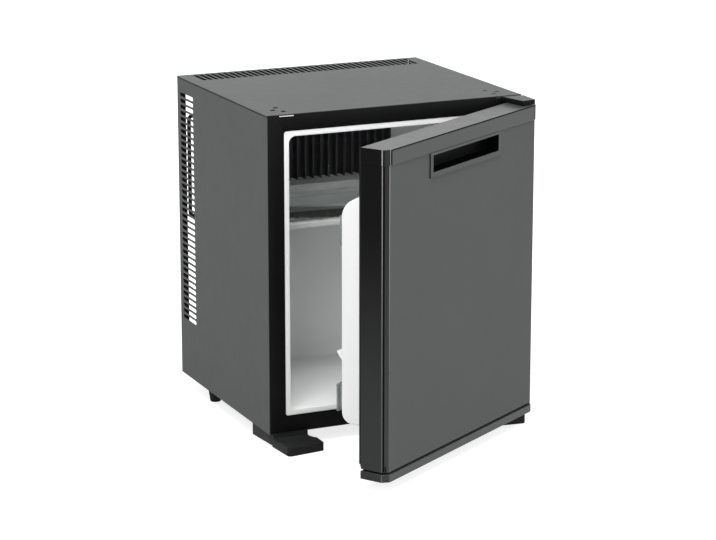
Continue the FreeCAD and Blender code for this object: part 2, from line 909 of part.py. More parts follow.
def make_mains_inlet():
    face = cover_y + box_wall
    flange_back = face + inlet_flange
    body = inlet_frame(0, face - inlet_depth, face)
    flange = inlet_frame(inlet_flange_rim, face, flange_back)
    recess_bottom = face - inlet_depth + inlet_bottom
    recess = inlet_frame(-inlet_wall, recess_bottom, flange_back + overrun)
    middle = (control_left + control_right) / 2
    centre = control_low + box_height / 2
    places = [
        (-inlet_pin_spread, inlet_live_drop),
        (inlet_pin_spread, inlet_live_drop),
        (0, inlet_earth_drop),
    ]
    pins = []
    for aside, drop in places:
        x = middle + aside - inlet_pin_width / 2
        pins.append(box(x, x + inlet_pin_width, recess_bottom, recess_bottom + inlet_pin_length,
                        centre - drop, centre - drop + inlet_pin_height))
    return fuse(fuse(body, flange).cut(recess), *pins)


def make_control_box_screws():
    screws = []
    face = cover_y + box_wall
    for x, z in box_screw_places():
        tip = Vector(x, face - box_screw_length, z)
        shank = Part.makeCylinder(box_screw_radius, box_screw_length, tip, Y_AXIS)
        head = Part.makeCylinder(box_screw_head_radius, box_screw_head, Vector(x, face, z), Y_AXIS)
        screws.append(fuse(shank, head))
    return group(*screws)


# Feet

def foot_outline():
    """Plan of the left front foot: heel under the cabinet and toe ahead of it."""
    rear = front + heel_back
    tip = front - toe_reach
    inner_start = Vector(left + heel_inner, front, 0)
    inner_end = Vector(left + toe_inner, front - toe_inner_back, 0)
    chord = inner_end - inner_start
    bulge = Vector(chord.y, -chord.x, 0) * foot_hollow_share
    corner = Vector(left + toe_side, tip, 0)
    points = [
        Vector(left + heel_side, rear, 0),
        Vector(left + heel_front_side, front, 0),
        corner + Vector(0, toe_corner, 0),
        corner + Vector(toe_corner, 0, 0),
        Vector(left + toe_inner, tip + toe_corner, 0),
        inner_end,
        inner_start,
        Vector(left + heel_inner, rear, 0),
    ]
    inward = toe_corner * (1 - math.sqrt(1 / 2))
    edges = [
        Part.LineSegment(points[0], points[1]).toShape(),
        Part.LineSegment(points[1], points[2]).toShape(),
        Part.Arc(points[2], corner + Vector(inward, inward, 0), points[3]).toShape(),
        Part.LineSegment(points[3], points[4]).toShape(),
        Part.LineSegment(points[4], points[5]).toShape(),
        Part.Arc(points[5], (inner_start + inner_end) / 2 + bulge, points[6]).toShape(),
        Part.LineSegment(points[6], points[7]).toShape(),
        Part.LineSegment(points[7], points[0]).toShape(),
    ]
    return Part.Face(Part.Wire(edges))


def foot_screw_holes(x, y):
    """Clearance hole of a foot's screw and the counterbore of its head."""
    recess_top = foot_screw_recess + foot_screw_head
    return [
        upright(x, y, -overrun, foot_height + overrun, screw_radius + screw_play),
        upright(x, y, -overrun, recess_top, foot_screw_head_radius + screw_play),
    ]


def make_front_foot_left():
    block = foot_outline().extrude(Z_AXIS * foot_height)
    across = (left - overrun, left + toe_inner + overrun)
    over_toe = box(*across, front - toe_reach - overrun, front, toe_height, foot_height + overrun)
    under_heel = box(*across, front + toe_pad_back, front + heel_back + overrun, -overrun, heel_lift)
    cuts = [over_toe, under_heel]
    for x, y in foot_screw_places():
        cuts += foot_screw_holes(x, y)
    return block.cut(cuts)


def make_front_foot_right():
    return mirrored(make_front_foot_left()).cut([make_lower_hinge_plate_blank()])


def make_rear_feet():
    feet = []
    for x, y in rear_foot_places():
        foot = Part.makeCone(rear_foot_bottom_radius, rear_foot_top_radius, foot_height,
                             Vector(x, y, 0), Z_AXIS)
        feet.append(foot.cut(foot_screw_holes(x, y)))
    return group(*feet)


def foot_screw(x, y):
    head = upright(x, y, foot_screw_recess, foot_screw_recess + foot_screw_head, foot_screw_head_radius)
    shank = upright(x, y, foot_screw_recess + foot_screw_head, pan_top + foot_screw_head, screw_radius)
    return fuse(head, shank)


def make_foot_screws():
    return group(*[foot_screw(x, y) for x, y in foot_screw_places() + rear_foot_places()])


def make_lower_hinge_screws():
    return group(*[mirrored(foot_screw(x, y)) for x, y in foot_screw_places()])


# Hinges

def make_upper_hinge_bracket():
    plate_right = right - side_flange - seat_gap
    inside = box(plate_right - hinge_plate_width, plate_right,
                 front + hinge_plate_start, front + hinge_plate_back, hinge_plate_bottom, lid_bottom)
    neck_right = right - hinge_slot_inset - seat_gap
    neck_width = hinge_slot_width - 2 * seat_gap
    neck = box(neck_right - neck_width, neck_right, front, front + hinge_plate_start,
               hinge_plate_bottom, lid_bottom)
    outside = prism(cover_corners(cover_wall + seat_gap, hinge_plate_bottom), Z_AXIS * hinge_plate)
    low = hinge_plate_bottom - overrun
    holes = [upright(x, y, low, top, screw_radius) for x, y in hinge_screw_places()]
    holes.append(upright(pivot_x, pivot_y, low, top, pin_radius))
    return fuse(inside, neck, outside).cut(holes)


def cover_corners(inset, z):
    """Plan of the hinge cover, drawn in on three sides and open towards the cabinet."""
    return [
        Vector(right - cover_back_width + inset, front, z),
        Vector(right - inset, front, z),
        Vector(right - cover_front_draw - inset, front - cover_outer_reach + inset, z),
        Vector(right - cover_front_draw - cover_front_width + inset, front - cover_inner_reach + inset, z),
    ]


def make_upper_hinge_cover():
    low = lid_bottom - cover_skirt
    shell = prism(cover_corners(0, low), Z_AXIS * (top - low))
    hollow = prism(cover_corners(cover_wall, low - overrun), Z_AXIS * (lid_bottom - low + overrun))
    return shell.cut(hollow)


def make_upper_hinge_pin():
    return upright(pivot_x, pivot_y, door_top - pin_reach, lid_bottom, pin_radius)


def make_upper_hinge_screws():
    screws = []
    for x, y in hinge_screw_places():
        head = upright(x, y, top, top + lid_screw_head, lid_screw_head_radius)
        shank = upright(x, y, top - screw_length, top, screw_radius)
        screws.append(fuse(head, shank))
    return group(*screws)


def make_hole_plugs():
    plugs = []
    for x, y in hinge_screw_places():
        head = upright(x, y, top, top + lid_screw_head, lid_screw_head_radius)
        stem = upright(x, y, top - plug_stem, top, plug_stem_radius)
        plugs.append(mirrored(fuse(head, stem)))
    return group(*plugs)


def make_hinge_slot_blank():
    x0 = left + hinge_slot_inset + seat_gap
    x1 = x0 + hinge_slot_width - 2 * seat_gap
    return box(x0, x1, front - blank_proud, front + blank_depth,
               hinge_plate_bottom, hinge_plate_bottom + blank_height)


def make_lower_hinge_plate_blank():
    """Lower hinge plate before its holes, let into the top of the right front foot."""
    plate_right = right - lower_plate_inset
    return box(plate_right - lower_plate_width, plate_right,
               front - lower_plate_lead, front + lower_plate_back, toe_height - hinge_plate, toe_height)


def make_lower_hinge_plate():
    cuts = [upright(pivot_x, pivot_y, 0, foot_height, pin_radius)]
    for x, y in foot_screw_places():
        cuts.append(mirrored(upright(x, y, 0, foot_height, screw_radius + screw_play)))
    return make_lower_hinge_plate_blank().cut(cuts)


def make_lower_hinge_pin():
    return upright(pivot_x, pivot_y, toe_height - hinge_plate, door_bottom + pin_reach, pin_radius)


def make_lower_hinge_washer():
    ring = upright(pivot_x, pivot_y, toe_height, door_bottom, washer_radius)
    return ring.cut(upright(pivot_x, pivot_y, 0, top, pin_radius + screw_play))


# Door, drawn shut

def make_door_panel():
    outer = block_faceted_in_front(left, right, door_front, door_back, panel_bottom, panel_top, door_corner)
    inner = block_faceted_in_front(left + sheet, right - sheet, door_front + sheet, door_back - sheet,
                                   panel_bottom - overrun, panel_top + overrun, door_corner - sheet)
    rear = box(left + sheet + door_lip, right - sheet - door_lip,
               door_back - sheet - overrun, door_back + overrun,
               panel_bottom - overrun, panel_top + overrun)
    grow = handle_wall + seat_gap
    hole = box(handle_left - grow, handle_right + grow, door_front - overrun, door_front + sheet + overrun,
               handle_bottom - grow, handle_top + grow)
    return outer.cut([inner, rear, hole])


def cap_block(inset, z0, z1):
    """Block with the plan of the door's caps, drawn in all round."""
    return block_faceted_in_front(left - cap_end_overhang + inset, right + cap_end_overhang - inset,
                                  cap_front + inset, door_back - inset, z0, z1, cap_corner - inset)


def bush_boss(z0, z1):
    return upright(pivot_x, pivot_y, z0, z1, bush_radius + boss_wall)


def make_door_top_cap():
    shell = cap_block(0, panel_top, door_top)
    shell = shell.cut(cap_block(cap_wall, panel_top - overrun, door_top - cap_wall))
    boss = bush_boss(door_top - bush_length, door_top)
    return fuse(shell, boss).cut(upright(pivot_x, pivot_y, door_bottom, door_top + overrun, bush_radius))


def make_door_bottom_cap():
    shell = cap_block(0, door_bottom, bottom_cap_top)
    shell = shell.cut(cap_block(cap_wall, door_bottom + cap_wall, bottom_cap_top + overrun))
    collar_top = panel_bottom + collar_height
    inset = cap_end_overhang + groove_depth
    collar = cap_block(inset, door_bottom, collar_top)
    collar = collar.cut(cap_block(inset + collar_wall, door_bottom, collar_top + overrun))
    boss = bush_boss(door_bottom, door_bottom + bush_length)
    behind = box(left, right, door_back - door_liner_wall, door_back + overrun,
                 bottom_cap_top, collar_top + overrun)
    return fuse(shell, collar, boss).cut([upright(pivot_x, pivot_y, 0, door_top, bush_radius), behind])


def hinge_bush(z0):
    bush = upright(pivot_x, pivot_y, z0, z0 + bush_length, bush_radius)
    return bush.cut(upright(pivot_x, pivot_y, 0, top, pin_radius + pin_play))


def cheek(inset, x0, x1):
    """Cheek of the door liner between two places along the door, drawn in by a wall."""
    deep = door_back + cheek_depth - inset
    high = cavity_top - cheek_below_top - inset
    low = bottom + cheek_bottom + inset
    slope = prism([
        Vector(x0, door_back - door_liner_wall, low),
        Vector(x0, deep, low),
        Vector(x0, deep, high - cheek_top_drop),
        Vector(x0, door_back - door_liner_wall, high),
    ], X_AXIS * (x1 - x0))
    below = edges_along(slope, X_AXIS,
                        lambda place: place.y > deep - tolerance and place.z < low + tolerance)
    slope = slope.makeFillet(cheek_bottom_corner - inset, below)
    knee = high - cheek_top_drop
    above = edges_along(slope, X_AXIS,
                        lambda place: place.y > deep - tolerance and place.z > knee - tolerance)
    return slope.makeFillet(cheek_top_corner - inset, above)


def cheek_outside():
    x0 = left + cheek_inset
    return cheek(0, x0, x0 + cheek_width)


def cheek_inside():
    x0 = left + cheek_inset + door_liner_wall
    return cheek(door_liner_wall, x0, x0 + cheek_width - 2 * door_liner_wall)


def make_door_liner():
    inset = sheet + door_lip + seat_gap
    plate = box(left + inset, right - inset, door_back - door_liner_wall, door_back,
                bottom_cap_top + seat_gap, panel_top - seat_gap)
    solid = fuse(plate, cheek_outside(), mirrored(cheek_outside()))
    return solid.cut([cheek_inside(), mirrored(cheek_inside())])


def make_door_gasket():
    x0 = left + gasket_free_inset
    x1 = right - gasket_hinge_inset
    z0 = door_bottom + gasket_bottom_inset
    z1 = door_top - gasket_top_inset
    y1 = front - gasket_air
    ring = box(x0, x1, door_back, y1, z0, z1)
    hole = box(x0 + gasket_width, x1 - gasket_width, door_back - overrun, y1 + overrun, z0 + gasket_width,
               z1 - gasket_width)
    return ring.cut(hole)


def make_handle_bezel():
    ring = box(handle_left - bezel_rim, handle_right + bezel_rim, door_front - bezel_raise, door_front,
               handle_bottom - bezel_rim, handle_top + bezel_top_rim)
    hole = box(handle_left, handle_right, door_front - bezel_raise - overrun, door_front + overrun,
               handle_bottom, handle_top)
    return ring.cut(hole)


def make_handle_pocket():
    depth_end = door_front + handle_depth
    outer = box(handle_left - handle_wall, handle_right + handle_wall, door_front, depth_end + handle_wall,
                handle_bottom - handle_wall, handle_top + handle_wall)
    hollow = box(handle_left, handle_right, door_front - overrun, depth_end, handle_bottom, handle_top)
    return outer.cut(hollow)


def make_door_foam(embedded):
    across = (left + sheet, right - sheet)
    through = (door_front + sheet, door_back - door_liner_wall)
    block = box(*across, *through, door_bottom + cap_wall, door_top - cap_wall)
    collar_inset = cap_end_overhang + groove_depth + collar_wall
    lower = cap_block(collar_inset, door_bottom + cap_wall, panel_bottom)
    middle = block_faceted_in_front(*across, *through, panel_bottom, panel_top, door_corner - sheet)
    upper = cap_block(cap_wall, panel_top, door_top - cap_wall)
    handle = box(handle_left, handle_right, door_front, door_front + handle_depth,
                 handle_bottom, handle_top)
    foam = fuse(lower.common(block), middle, upper.common(block))
    return fuse(foam, cheek_inside(), mirrored(cheek_inside())).cut(embedded + [handle])


def rack(z0, height, depth):
    """Open-topped rack that hangs between the cheeks, with its front wall ahead of them."""
    floor_left = left + cheek_inset + cheek_width
    floor_right = right - cheek_inset - cheek_width
    z1 = z0 + height
    deep = door_back + depth
    floor = box(floor_left, floor_right, door_back, deep, z0, z0 + rack_wall)
    end = box(floor_left, floor_left + rack_wall, door_back, deep, z0, z1)
    wall = box(left + rack_end_inset, right - rack_end_inset, deep - rack_wall, deep, z0, z1)
    return fuse(floor, end, mirrored(end), wall)


def make_door_rack_upper():
    return rack(cavity_top - upper_rack_below_top, upper_rack_height, upper_rack_depth)


def make_door_rack_lower():
    return rack(bottom + lower_rack_bottom, lower_rack_height, lower_rack_depth)


def make_door_bottle_rail():
    """Leaning strip ahead of the lower bottles, carried on pads on the two cheeks."""
    z0 = bottom + bottle_rail_bottom
    z1 = z0 + bottle_rail_height
    y0 = door_back + cheek_depth
    y1 = y0 + bottle_rail_reach
    x0 = left + rack_end_inset
    x1 = right - rack_end_inset
    strip = prism([
        Vector(x0, y0, z0),
        Vector(x0, y0 + bottle_rail_thickness, z0),
        Vector(x0, y1, z1 - bottle_rail_thickness),
        Vector(x0, y1, z1),
        Vector(x0, y1 - bottle_rail_thickness, z1),
        Vector(x0, y0, z0 + bottle_rail_thickness),
    ], X_AXIS * (x1 - x0))
    pad = box(x0, x0 + bottle_rail_pad, y0, y0 + bottle_rail_thickness, z0 - bottle_rail_pad, z0)
    return fuse(strip, pad, mirrored(pad))


def make_cabinet():
    """Everything that stands still."""
    side = make_left_side_panel()
    pieces = {
        "top_panel": make_top_panel(),
        "left_side_panel": side,
        "right_side_panel": mirrored(side),
        "base_pan": make_base_pan(),
        "back_plate": make_back_plate(),
        "rear_cross_rail": make_rear_cross_rail(),
        "inner_liner": make_inner_liner(),
        "front_frame": make_front_frame(),
        "front_foot_left": make_front_foot_left(),
        "front_foot_right": make_front_foot_right(),
        "rear_feet": make_rear_feet(),
        "foot_screws": make_foot_screws(),
        "upper_hinge_bracket": make_upper_hinge_bracket(),
        "upper_hinge_pin": make_upper_hinge_pin(),
        "upper_hinge_cover": make_upper_hinge_cover(),
        "upper_hinge_screws": make_upper_hinge_screws(),
        "hole_plugs": make_hole_plugs(),
        "hinge_slot_blank": make_hinge_slot_blank(),
        "lower_hinge_plate": make_lower_hinge_plate(),
        "lower_hinge_pin": make_lower_hinge_pin(),
        "lower_hinge_screws": make_lower_hinge_screws(),
        "lower_hinge_washer": make_lower_hinge_washer(),
        "glass_shelf": make_glass_shelf(),
        "shelf_front_trim": make_shelf_front_trim(),
        "evaporator_fins": make_evaporator_fins(),
        "evaporator_tube": make_evaporator_tube(),
        "drip_tray": make_drip_tray(),
        "thermostat_housing": make_thermostat_housing(),
        "thermostat_body": make_thermostat_body(),
        "lamp_lens": make_lamp_lens(),
        "condenser_tube": make_condenser_tube(),
        "condenser_fins": make_condenser_fins(),
        "vent_pipe": make_vent_pipe(),
        "absorber_coil": make_absorber_coil(),
        "absorber_vessel": make_absorber_vessel(),
        "boiler_casing": make_boiler_casing(),
        "boiler_insulation": make_boiler_insulation(),
        "boiler_tube": make_boiler_tube(),
        "heater_cartridge": make_heater_cartridge(),
        "unit_brackets": make_unit_brackets(),
        "control_box": make_control_box(),
        "control_box_cover": make_control_box_cover(),
        "mains_inlet": make_mains_inlet(),
        "control_box_screws": make_control_box_screws(),
    }
    in_foam = ["left_side_panel", "right_side_panel", "base_pan", "front_frame", "foot_screws",
               "upper_hinge_bracket", "upper_hinge_screws", "hole_plugs", "hinge_slot_blank",
               "lower_hinge_screws"]
    embedded = [pieces[name] for name in in_foam]
    pieces["cabinet_foam"] = make_cabinet_foam(embedded + [evaporator_passage()])
    return pieces


def make_door():
    """Everything that turns with the door, turned from shut to ajar."""
    pieces = {
        "door_panel": make_door_panel(),
        "door_top_cap": make_door_top_cap(),
        "door_bottom_cap": make_door_bottom_cap(),
        "door_liner": make_door_liner(),
        "door_gasket": make_door_gasket(),
        "handle_bezel": make_handle_bezel(),
        "handle_pocket": make_handle_pocket(),
        "upper_hinge_bush": hinge_bush(door_top - bush_length),
        "lower_hinge_bush": hinge_bush(door_bottom),
        "door_rack_upper": make_door_rack_upper(),
        "door_rack_lower": make_door_rack_lower(),
        "door_bottle_rail": make_door_bottle_rail(),
    }
    in_foam = ["door_panel", "door_top_cap", "door_bottom_cap", "handle_pocket"]
    around_pin = upright(pivot_x, pivot_y, 0, top, bush_radius)
    pieces["door_foam"] = make_door_foam([pieces[name] for name in in_foam] + [around_pin])
    for shape in pieces.values():
        shape.rotate(Vector(pivot_x, pivot_y, 0), Z_AXIS, door_open_angle)
    return pieces


def main():
    os.makedirs("parts", exist_ok=True)
    pieces = make_cabinet()
    pieces["thermostat_knob"] = make_thermostat_knob()
    pieces.update(make_door())
    whole = FreeCAD.BoundBox()
    for shape in pieces.values():
        whole.add(shape.optimalBoundingBox(False, False))
    shift = Vector(-whole.Center.x, -whole.Center.y, -whole.ZMin)
    for name, shape in pieces.items():
        shape.translate(shift)
        shape.exportStep(os.path.join("parts", name + ".step"))
    print("cabinet's front left corner on the floor", shift)
    print("door hinge axis", Vector(pivot_x, pivot_y, 0) + shift)
    print("knob axis", Vector(knob_face, knob_y, knob_z) + shift)
    print("size", whole.XLength, whole.YLength, whole.ZLength)


main()
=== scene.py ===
# %% [markdown]
# # A minibar fridge with its door ajar
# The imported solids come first. They give every piece its place, so the pieces below are only dressed:
# softer edges, moulded details and finishes. Lengths in this lesson are millimetres in a working frame
# whose origin is the cabinet's front left corner on the floor, because those are the numbers that a
# maker would read off a drawing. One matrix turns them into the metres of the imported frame.

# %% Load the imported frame
import json
import math
import bpy
from mathutils import Matrix, Vector


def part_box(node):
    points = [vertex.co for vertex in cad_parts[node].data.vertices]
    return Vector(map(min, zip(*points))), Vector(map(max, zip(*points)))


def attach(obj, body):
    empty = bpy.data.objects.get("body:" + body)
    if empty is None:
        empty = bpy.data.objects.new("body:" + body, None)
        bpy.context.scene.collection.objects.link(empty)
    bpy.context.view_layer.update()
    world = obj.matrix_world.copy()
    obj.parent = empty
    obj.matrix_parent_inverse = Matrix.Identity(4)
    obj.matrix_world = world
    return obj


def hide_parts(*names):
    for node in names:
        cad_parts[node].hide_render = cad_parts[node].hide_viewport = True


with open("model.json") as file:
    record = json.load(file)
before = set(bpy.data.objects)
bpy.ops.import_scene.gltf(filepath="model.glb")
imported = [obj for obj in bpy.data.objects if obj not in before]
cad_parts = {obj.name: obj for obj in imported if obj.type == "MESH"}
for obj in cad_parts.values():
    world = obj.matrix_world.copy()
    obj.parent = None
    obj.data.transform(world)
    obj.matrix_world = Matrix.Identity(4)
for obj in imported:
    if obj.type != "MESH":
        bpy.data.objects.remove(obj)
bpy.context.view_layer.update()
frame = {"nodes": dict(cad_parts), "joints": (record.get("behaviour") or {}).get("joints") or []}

solids = frame["nodes"]

# %% [markdown]
# ## The working frame
# The left side panel starts 20 mm above the floor, at the corner that the working frame starts from.
# The door is modelled shut, as it hangs on its drawing, and is then turned about the hinge to where
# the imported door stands. That angle is also how far the hinge can turn back.

# %% Working frame and door angle
MM = 0.001
FOOT = 20.0
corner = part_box("left_side_panel")[0]
to_packed = Matrix.Translation((corner.x, corner.y, corner.z - FOOT * MM))
hinge = next(joint for joint in frame["joints"] if joint["name"] == "door_hinge")
pivot = Vector(hinge["pos_m"])
ajar = math.radians(-hinge["range_deg"][0])
door_turn = Matrix.Translation(pivot) @ Matrix.Rotation(ajar, 4, "Z") @ Matrix.Translation(-pivot)
print("door stands open by", round(math.degrees(ajar), 2), "degrees")

# %% [markdown]
# ## Hand tools
# Every piece starts as a cube or a cylinder, or as a welded copy of its solid. The helpers below add
# the start, pick edges or faces by their place, run an edit-mode operator on them and apply modifiers,
# which is what one would click through by hand. `settle` ends a piece: it moves the mesh into the
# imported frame, smooths it by angle, gives it a finish and lets it ride on its body.

# %% Selecting and starting
# A point within NEAR of a plane counts as on it. An edge whose ends differ by more than LONG along
# an axis counts as running that way.
NEAR, LONG = 0.1, 5.0


def clear_selection():
    if bpy.context.object and bpy.context.object.mode != "OBJECT":
        bpy.ops.object.mode_set(mode="OBJECT")
    bpy.ops.object.select_all(action="DESELECT")


def make_active(piece):
    clear_selection()
    piece.select_set(True)
    bpy.context.view_layer.objects.active = piece


def block(name, low, high):
    """A cube stretched between two corners of the working frame."""
    clear_selection()
    middle = [(a + b) / 2 * MM for a, b in zip(low, high)]
    size = [(b - a) * MM for a, b in zip(low, high)]
    bpy.ops.mesh.primitive_cube_add(size=1, location=middle, scale=size)
    piece = bpy.context.object
    piece.name = name
    bpy.ops.object.transform_apply(location=True, rotation=True, scale=True)
    return piece


def drum(name, centre, radius, length, axis="Z", sides=40):
    """A cylinder about a centre of the working frame."""
    clear_selection()
    turn = {"Z": (0, 0, 0), "X": (0, math.pi / 2, 0)}[axis]
    place = [value * MM for value in centre]
    bpy.ops.mesh.primitive_cylinder_add(vertices=sides, radius=radius * MM, depth=length * MM,
                                        location=place, rotation=turn)
    piece = bpy.context.object
    piece.name = name
    bpy.ops.object.transform_apply(location=True, rotation=True, scale=True)
    return piece


def pick_edges(piece, wanted):
    """Edit mode with those edges selected whose two ends pass a test."""
    make_active(piece)
    mesh = piece.data
    bpy.context.tool_settings.mesh_select_mode = (False, True, False)
    for face in mesh.polygons:
        face.select = False
    for point in mesh.vertices:
        point.select = False
    for edge in mesh.edges:
        a, b = (mesh.vertices[number].co / MM for number in edge.vertices)
        edge.select = bool(wanted(a, b))
        if edge.select:
            for number in edge.vertices:
                mesh.vertices[number].select = True
    bpy.ops.object.mode_set(mode="EDIT")


def pick_faces(piece, wanted):
    """Edit mode with those faces selected whose centre and normal pass a test."""
    make_active(piece)
    mesh = piece.data
    bpy.context.tool_settings.mesh_select_mode = (False, False, True)
    for point in mesh.vertices:
        point.select = False
    for edge in mesh.edges:
        edge.select = False
    for face in mesh.polygons:
        face.select = bool(wanted(face.center / MM, face.normal))
    bpy.ops.object.mode_set(mode="EDIT")


def upright(a, b):
    """True for an edge, given by its two ends, that runs up and down."""
    return abs(a.z - b.z) > LONG


def across(a, b):
    """True for an edge, given by its two ends, that runs from left to right."""
    return abs(a.x - b.x) > LONG


# %% Shaping and finishing
def bevel_edges(piece, width, segments, wanted):
    pick_edges(piece, wanted)
    bpy.ops.mesh.bevel(offset=width * MM, segments=segments, affect="EDGES")
    bpy.ops.object.mode_set(mode="OBJECT")


def split(piece, place, way):
    """New edges all round the piece, where a plane meets it."""
    make_active(piece)
    bpy.ops.object.mode_set(mode="EDIT")
    bpy.ops.mesh.select_all(action="SELECT")
    bpy.ops.mesh.bisect(plane_co=Vector(place) * MM, plane_no=way)
    bpy.ops.object.mode_set(mode="OBJECT")


def two_finishes(piece, first, second, second_where):
    for material in (first, second):
        piece.data.materials.append(material)
    for face in piece.data.polygons:
        face.material_index = int(second_where(face.center / MM, face.normal))


def apply_modifier(piece, kind, **settings):
    make_active(piece)
    modifier = piece.modifiers.new(kind.lower(), kind)
    for key, value in settings.items():
        setattr(modifier, key, value)
    bpy.ops.object.modifier_apply(modifier=modifier.name)


def round_off(piece, width, segments=2, angle=35.0):
    """Soft edges wherever two faces meet at more than an angle."""
    apply_modifier(piece, "BEVEL", width=width * MM, segments=segments, limit_method="ANGLE",
                   angle_limit=math.radians(angle), use_clamp_overlap=False)


def cut(piece, *tools):
    for tool in tools:
        apply_modifier(piece, "BOOLEAN", operation="DIFFERENCE", object=tool, solver="EXACT")
        bpy.data.objects.remove(tool)


def add(piece, *others):
    for other in others:
        apply_modifier(piece, "BOOLEAN", operation="UNION", object=other, solver="EXACT")
        bpy.data.objects.remove(other)


def joined(first, *others):
    """Several loose bodies in one piece."""
    clear_selection()
    for other in (first,) + others:
        other.select_set(True)
    bpy.context.view_layer.objects.active = first
    bpy.ops.object.join()
    return first


def copy_of(piece, offset):
    """A second body with a mesh of its own, moved by an offset."""
    twin = piece.copy()
    twin.data = piece.data.copy()
    bpy.context.scene.collection.objects.link(twin)
    twin.data.transform(Matrix.Translation([value * MM for value in offset]))
    return twin


WELD, FLAT_ANGLE = 0.002, 0.2


def softened(name, node, width, segments=2, angle=35.0):
    """A welded copy of a solid. With a width its flat faces are made whole and its edges softened."""
    clear_selection()
    piece = bpy.data.objects.new(name, solids[node].data.copy())
    piece.data.materials.clear()
    bpy.context.scene.collection.objects.link(piece)
    make_active(piece)
    bpy.ops.object.mode_set(mode="EDIT")
    bpy.ops.mesh.select_all(action="SELECT")
    bpy.ops.mesh.remove_doubles(threshold=WELD * MM)
    if width:
        bpy.ops.mesh.dissolve_limited(angle_limit=math.radians(FLAT_ANGLE))
    bpy.ops.object.mode_set(mode="OBJECT")
    if width:
        round_off(piece, width, segments, angle)
    return piece


def settle(piece, body, node, material, placed=False, smooth=32.0):
    """Last steps of a piece: place, shading, finish, and the solid that it stands for."""
    make_active(piece)
    if not placed:
        piece.matrix_world = (door_turn if body == "door" else Matrix.Identity(4)) @ to_packed
        bpy.ops.object.transform_apply(location=True, rotation=True, scale=True)
    bpy.ops.object.shade_smooth_by_angle(angle=math.radians(smooth))
    if material is not None:
        piece.data.materials.clear()
        piece.data.materials.append(material)
    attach(piece, body)
    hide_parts(node)
    return piece


# %% [markdown]
# ## Finishes
# Nothing on a real fridge is one flat colour. Paint has a fine orange peel, moulded plastic has a
# grain from its tool, sheet steel shows zinc flowers, and everything varies a little from place to
# place. Three node groups make those effects once: `mottle` gives slow patches and a fine grain,
# `flowers` gives the crystals of a zinc coating, and `rise` tells how high up a place is, for painted
# shade and painted highlights that change with height. Each finish then places a group with its own values.

# %% Node groups that several finishes share
def socket(tree, name, way, kind="NodeSocketFloat", default=None):
    made_socket = tree.interface.new_socket(name=name, in_out=way, socket_type=kind)
    if default is not None:
        made_socket.default_value = default


def mottle_group():
    tree = bpy.data.node_groups.new("mottle", "ShaderNodeTree")
    socket(tree, "Grain per metre", "INPUT", default=900.0)
    socket(tree, "Patches per metre", "INPUT", default=8.0)
    socket(tree, "Grain", "OUTPUT")
    socket(tree, "Patches", "OUTPUT")
    socket(tree, "Rubbed", "OUTPUT")
    node, link = tree.nodes.new, tree.links.new
    ends = node("NodeGroupInput"), node("NodeGroupOutput")
    place = node("ShaderNodeTexCoord")
    for output, detail, source in (("Grain", 2.0, "Grain per metre"), ("Patches", 4.0, "Patches per metre")):
        noise = node("ShaderNodeTexNoise")
        noise.inputs["Detail"].default_value = detail
        link(place.outputs["Object"], noise.inputs["Vector"])
        link(ends[0].outputs[source], noise.inputs["Scale"])
        link(noise.outputs["Fac"], ends[1].inputs[output])
    rub = node("ShaderNodeTexNoise")
    rub.inputs["Scale"].default_value = 55.0
    rub.inputs["Detail"].default_value = 6.0
    rub.inputs["Roughness"].default_value = 0.7
    ramp = node("ShaderNodeMapRange")
    ramp.inputs["From Min"].default_value = 0.3
    ramp.inputs["From Max"].default_value = 0.7
    link(place.outputs["Object"], rub.inputs["Vector"])
    link(rub.outputs["Fac"], ramp.inputs["Value"])
    link(ramp.outputs["Result"], ends[1].inputs["Rubbed"])
    return tree


def flowers_group():
    tree = bpy.data.node_groups.new("flowers", "ShaderNodeTree")
    socket(tree, "Flowers per metre", "INPUT", default=120.0)
    socket(tree, "Shade", "OUTPUT")
    node, link = tree.nodes.new, tree.links.new
    ends = node("NodeGroupInput"), node("NodeGroupOutput")
    place = node("ShaderNodeTexCoord")
    cells = node("ShaderNodeTexVoronoi")
    grey = node("ShaderNodeRGBToBW")
    link(place.outputs["Object"], cells.inputs["Vector"])
    link(ends[0].outputs["Flowers per metre"], cells.inputs["Scale"])
    link(cells.outputs["Color"], grey.inputs["Color"])
    link(grey.outputs["Val"], ends[1].inputs["Shade"])
    return tree


def rise_group():
    tree = bpy.data.node_groups.new("rise", "ShaderNodeTree")
    socket(tree, "From height", "INPUT", default=0.0)
    socket(tree, "To height", "INPUT", default=0.48)
    socket(tree, "Height", "OUTPUT")
    node, link = tree.nodes.new, tree.links.new
    ends = node("NodeGroupInput"), node("NodeGroupOutput")
    place = node("ShaderNodeTexCoord")
    parts = node("ShaderNodeSeparateXYZ")
    share = node("ShaderNodeMapRange")
    share.interpolation_type = "SMOOTHSTEP"
    link(place.outputs["Object"], parts.inputs["Vector"])
    link(parts.outputs["Z"], share.inputs["Value"])
    link(ends[0].outputs["From height"], share.inputs["From Min"])
    link(ends[0].outputs["To height"], share.inputs["From Max"])
    link(share.outputs["Result"], ends[1].inputs["Height"])
    return tree


mottle = mottle_group()
flowers = flowers_group()
rise = rise_group()
print("node groups", mottle.name, flowers.name, rise.name)


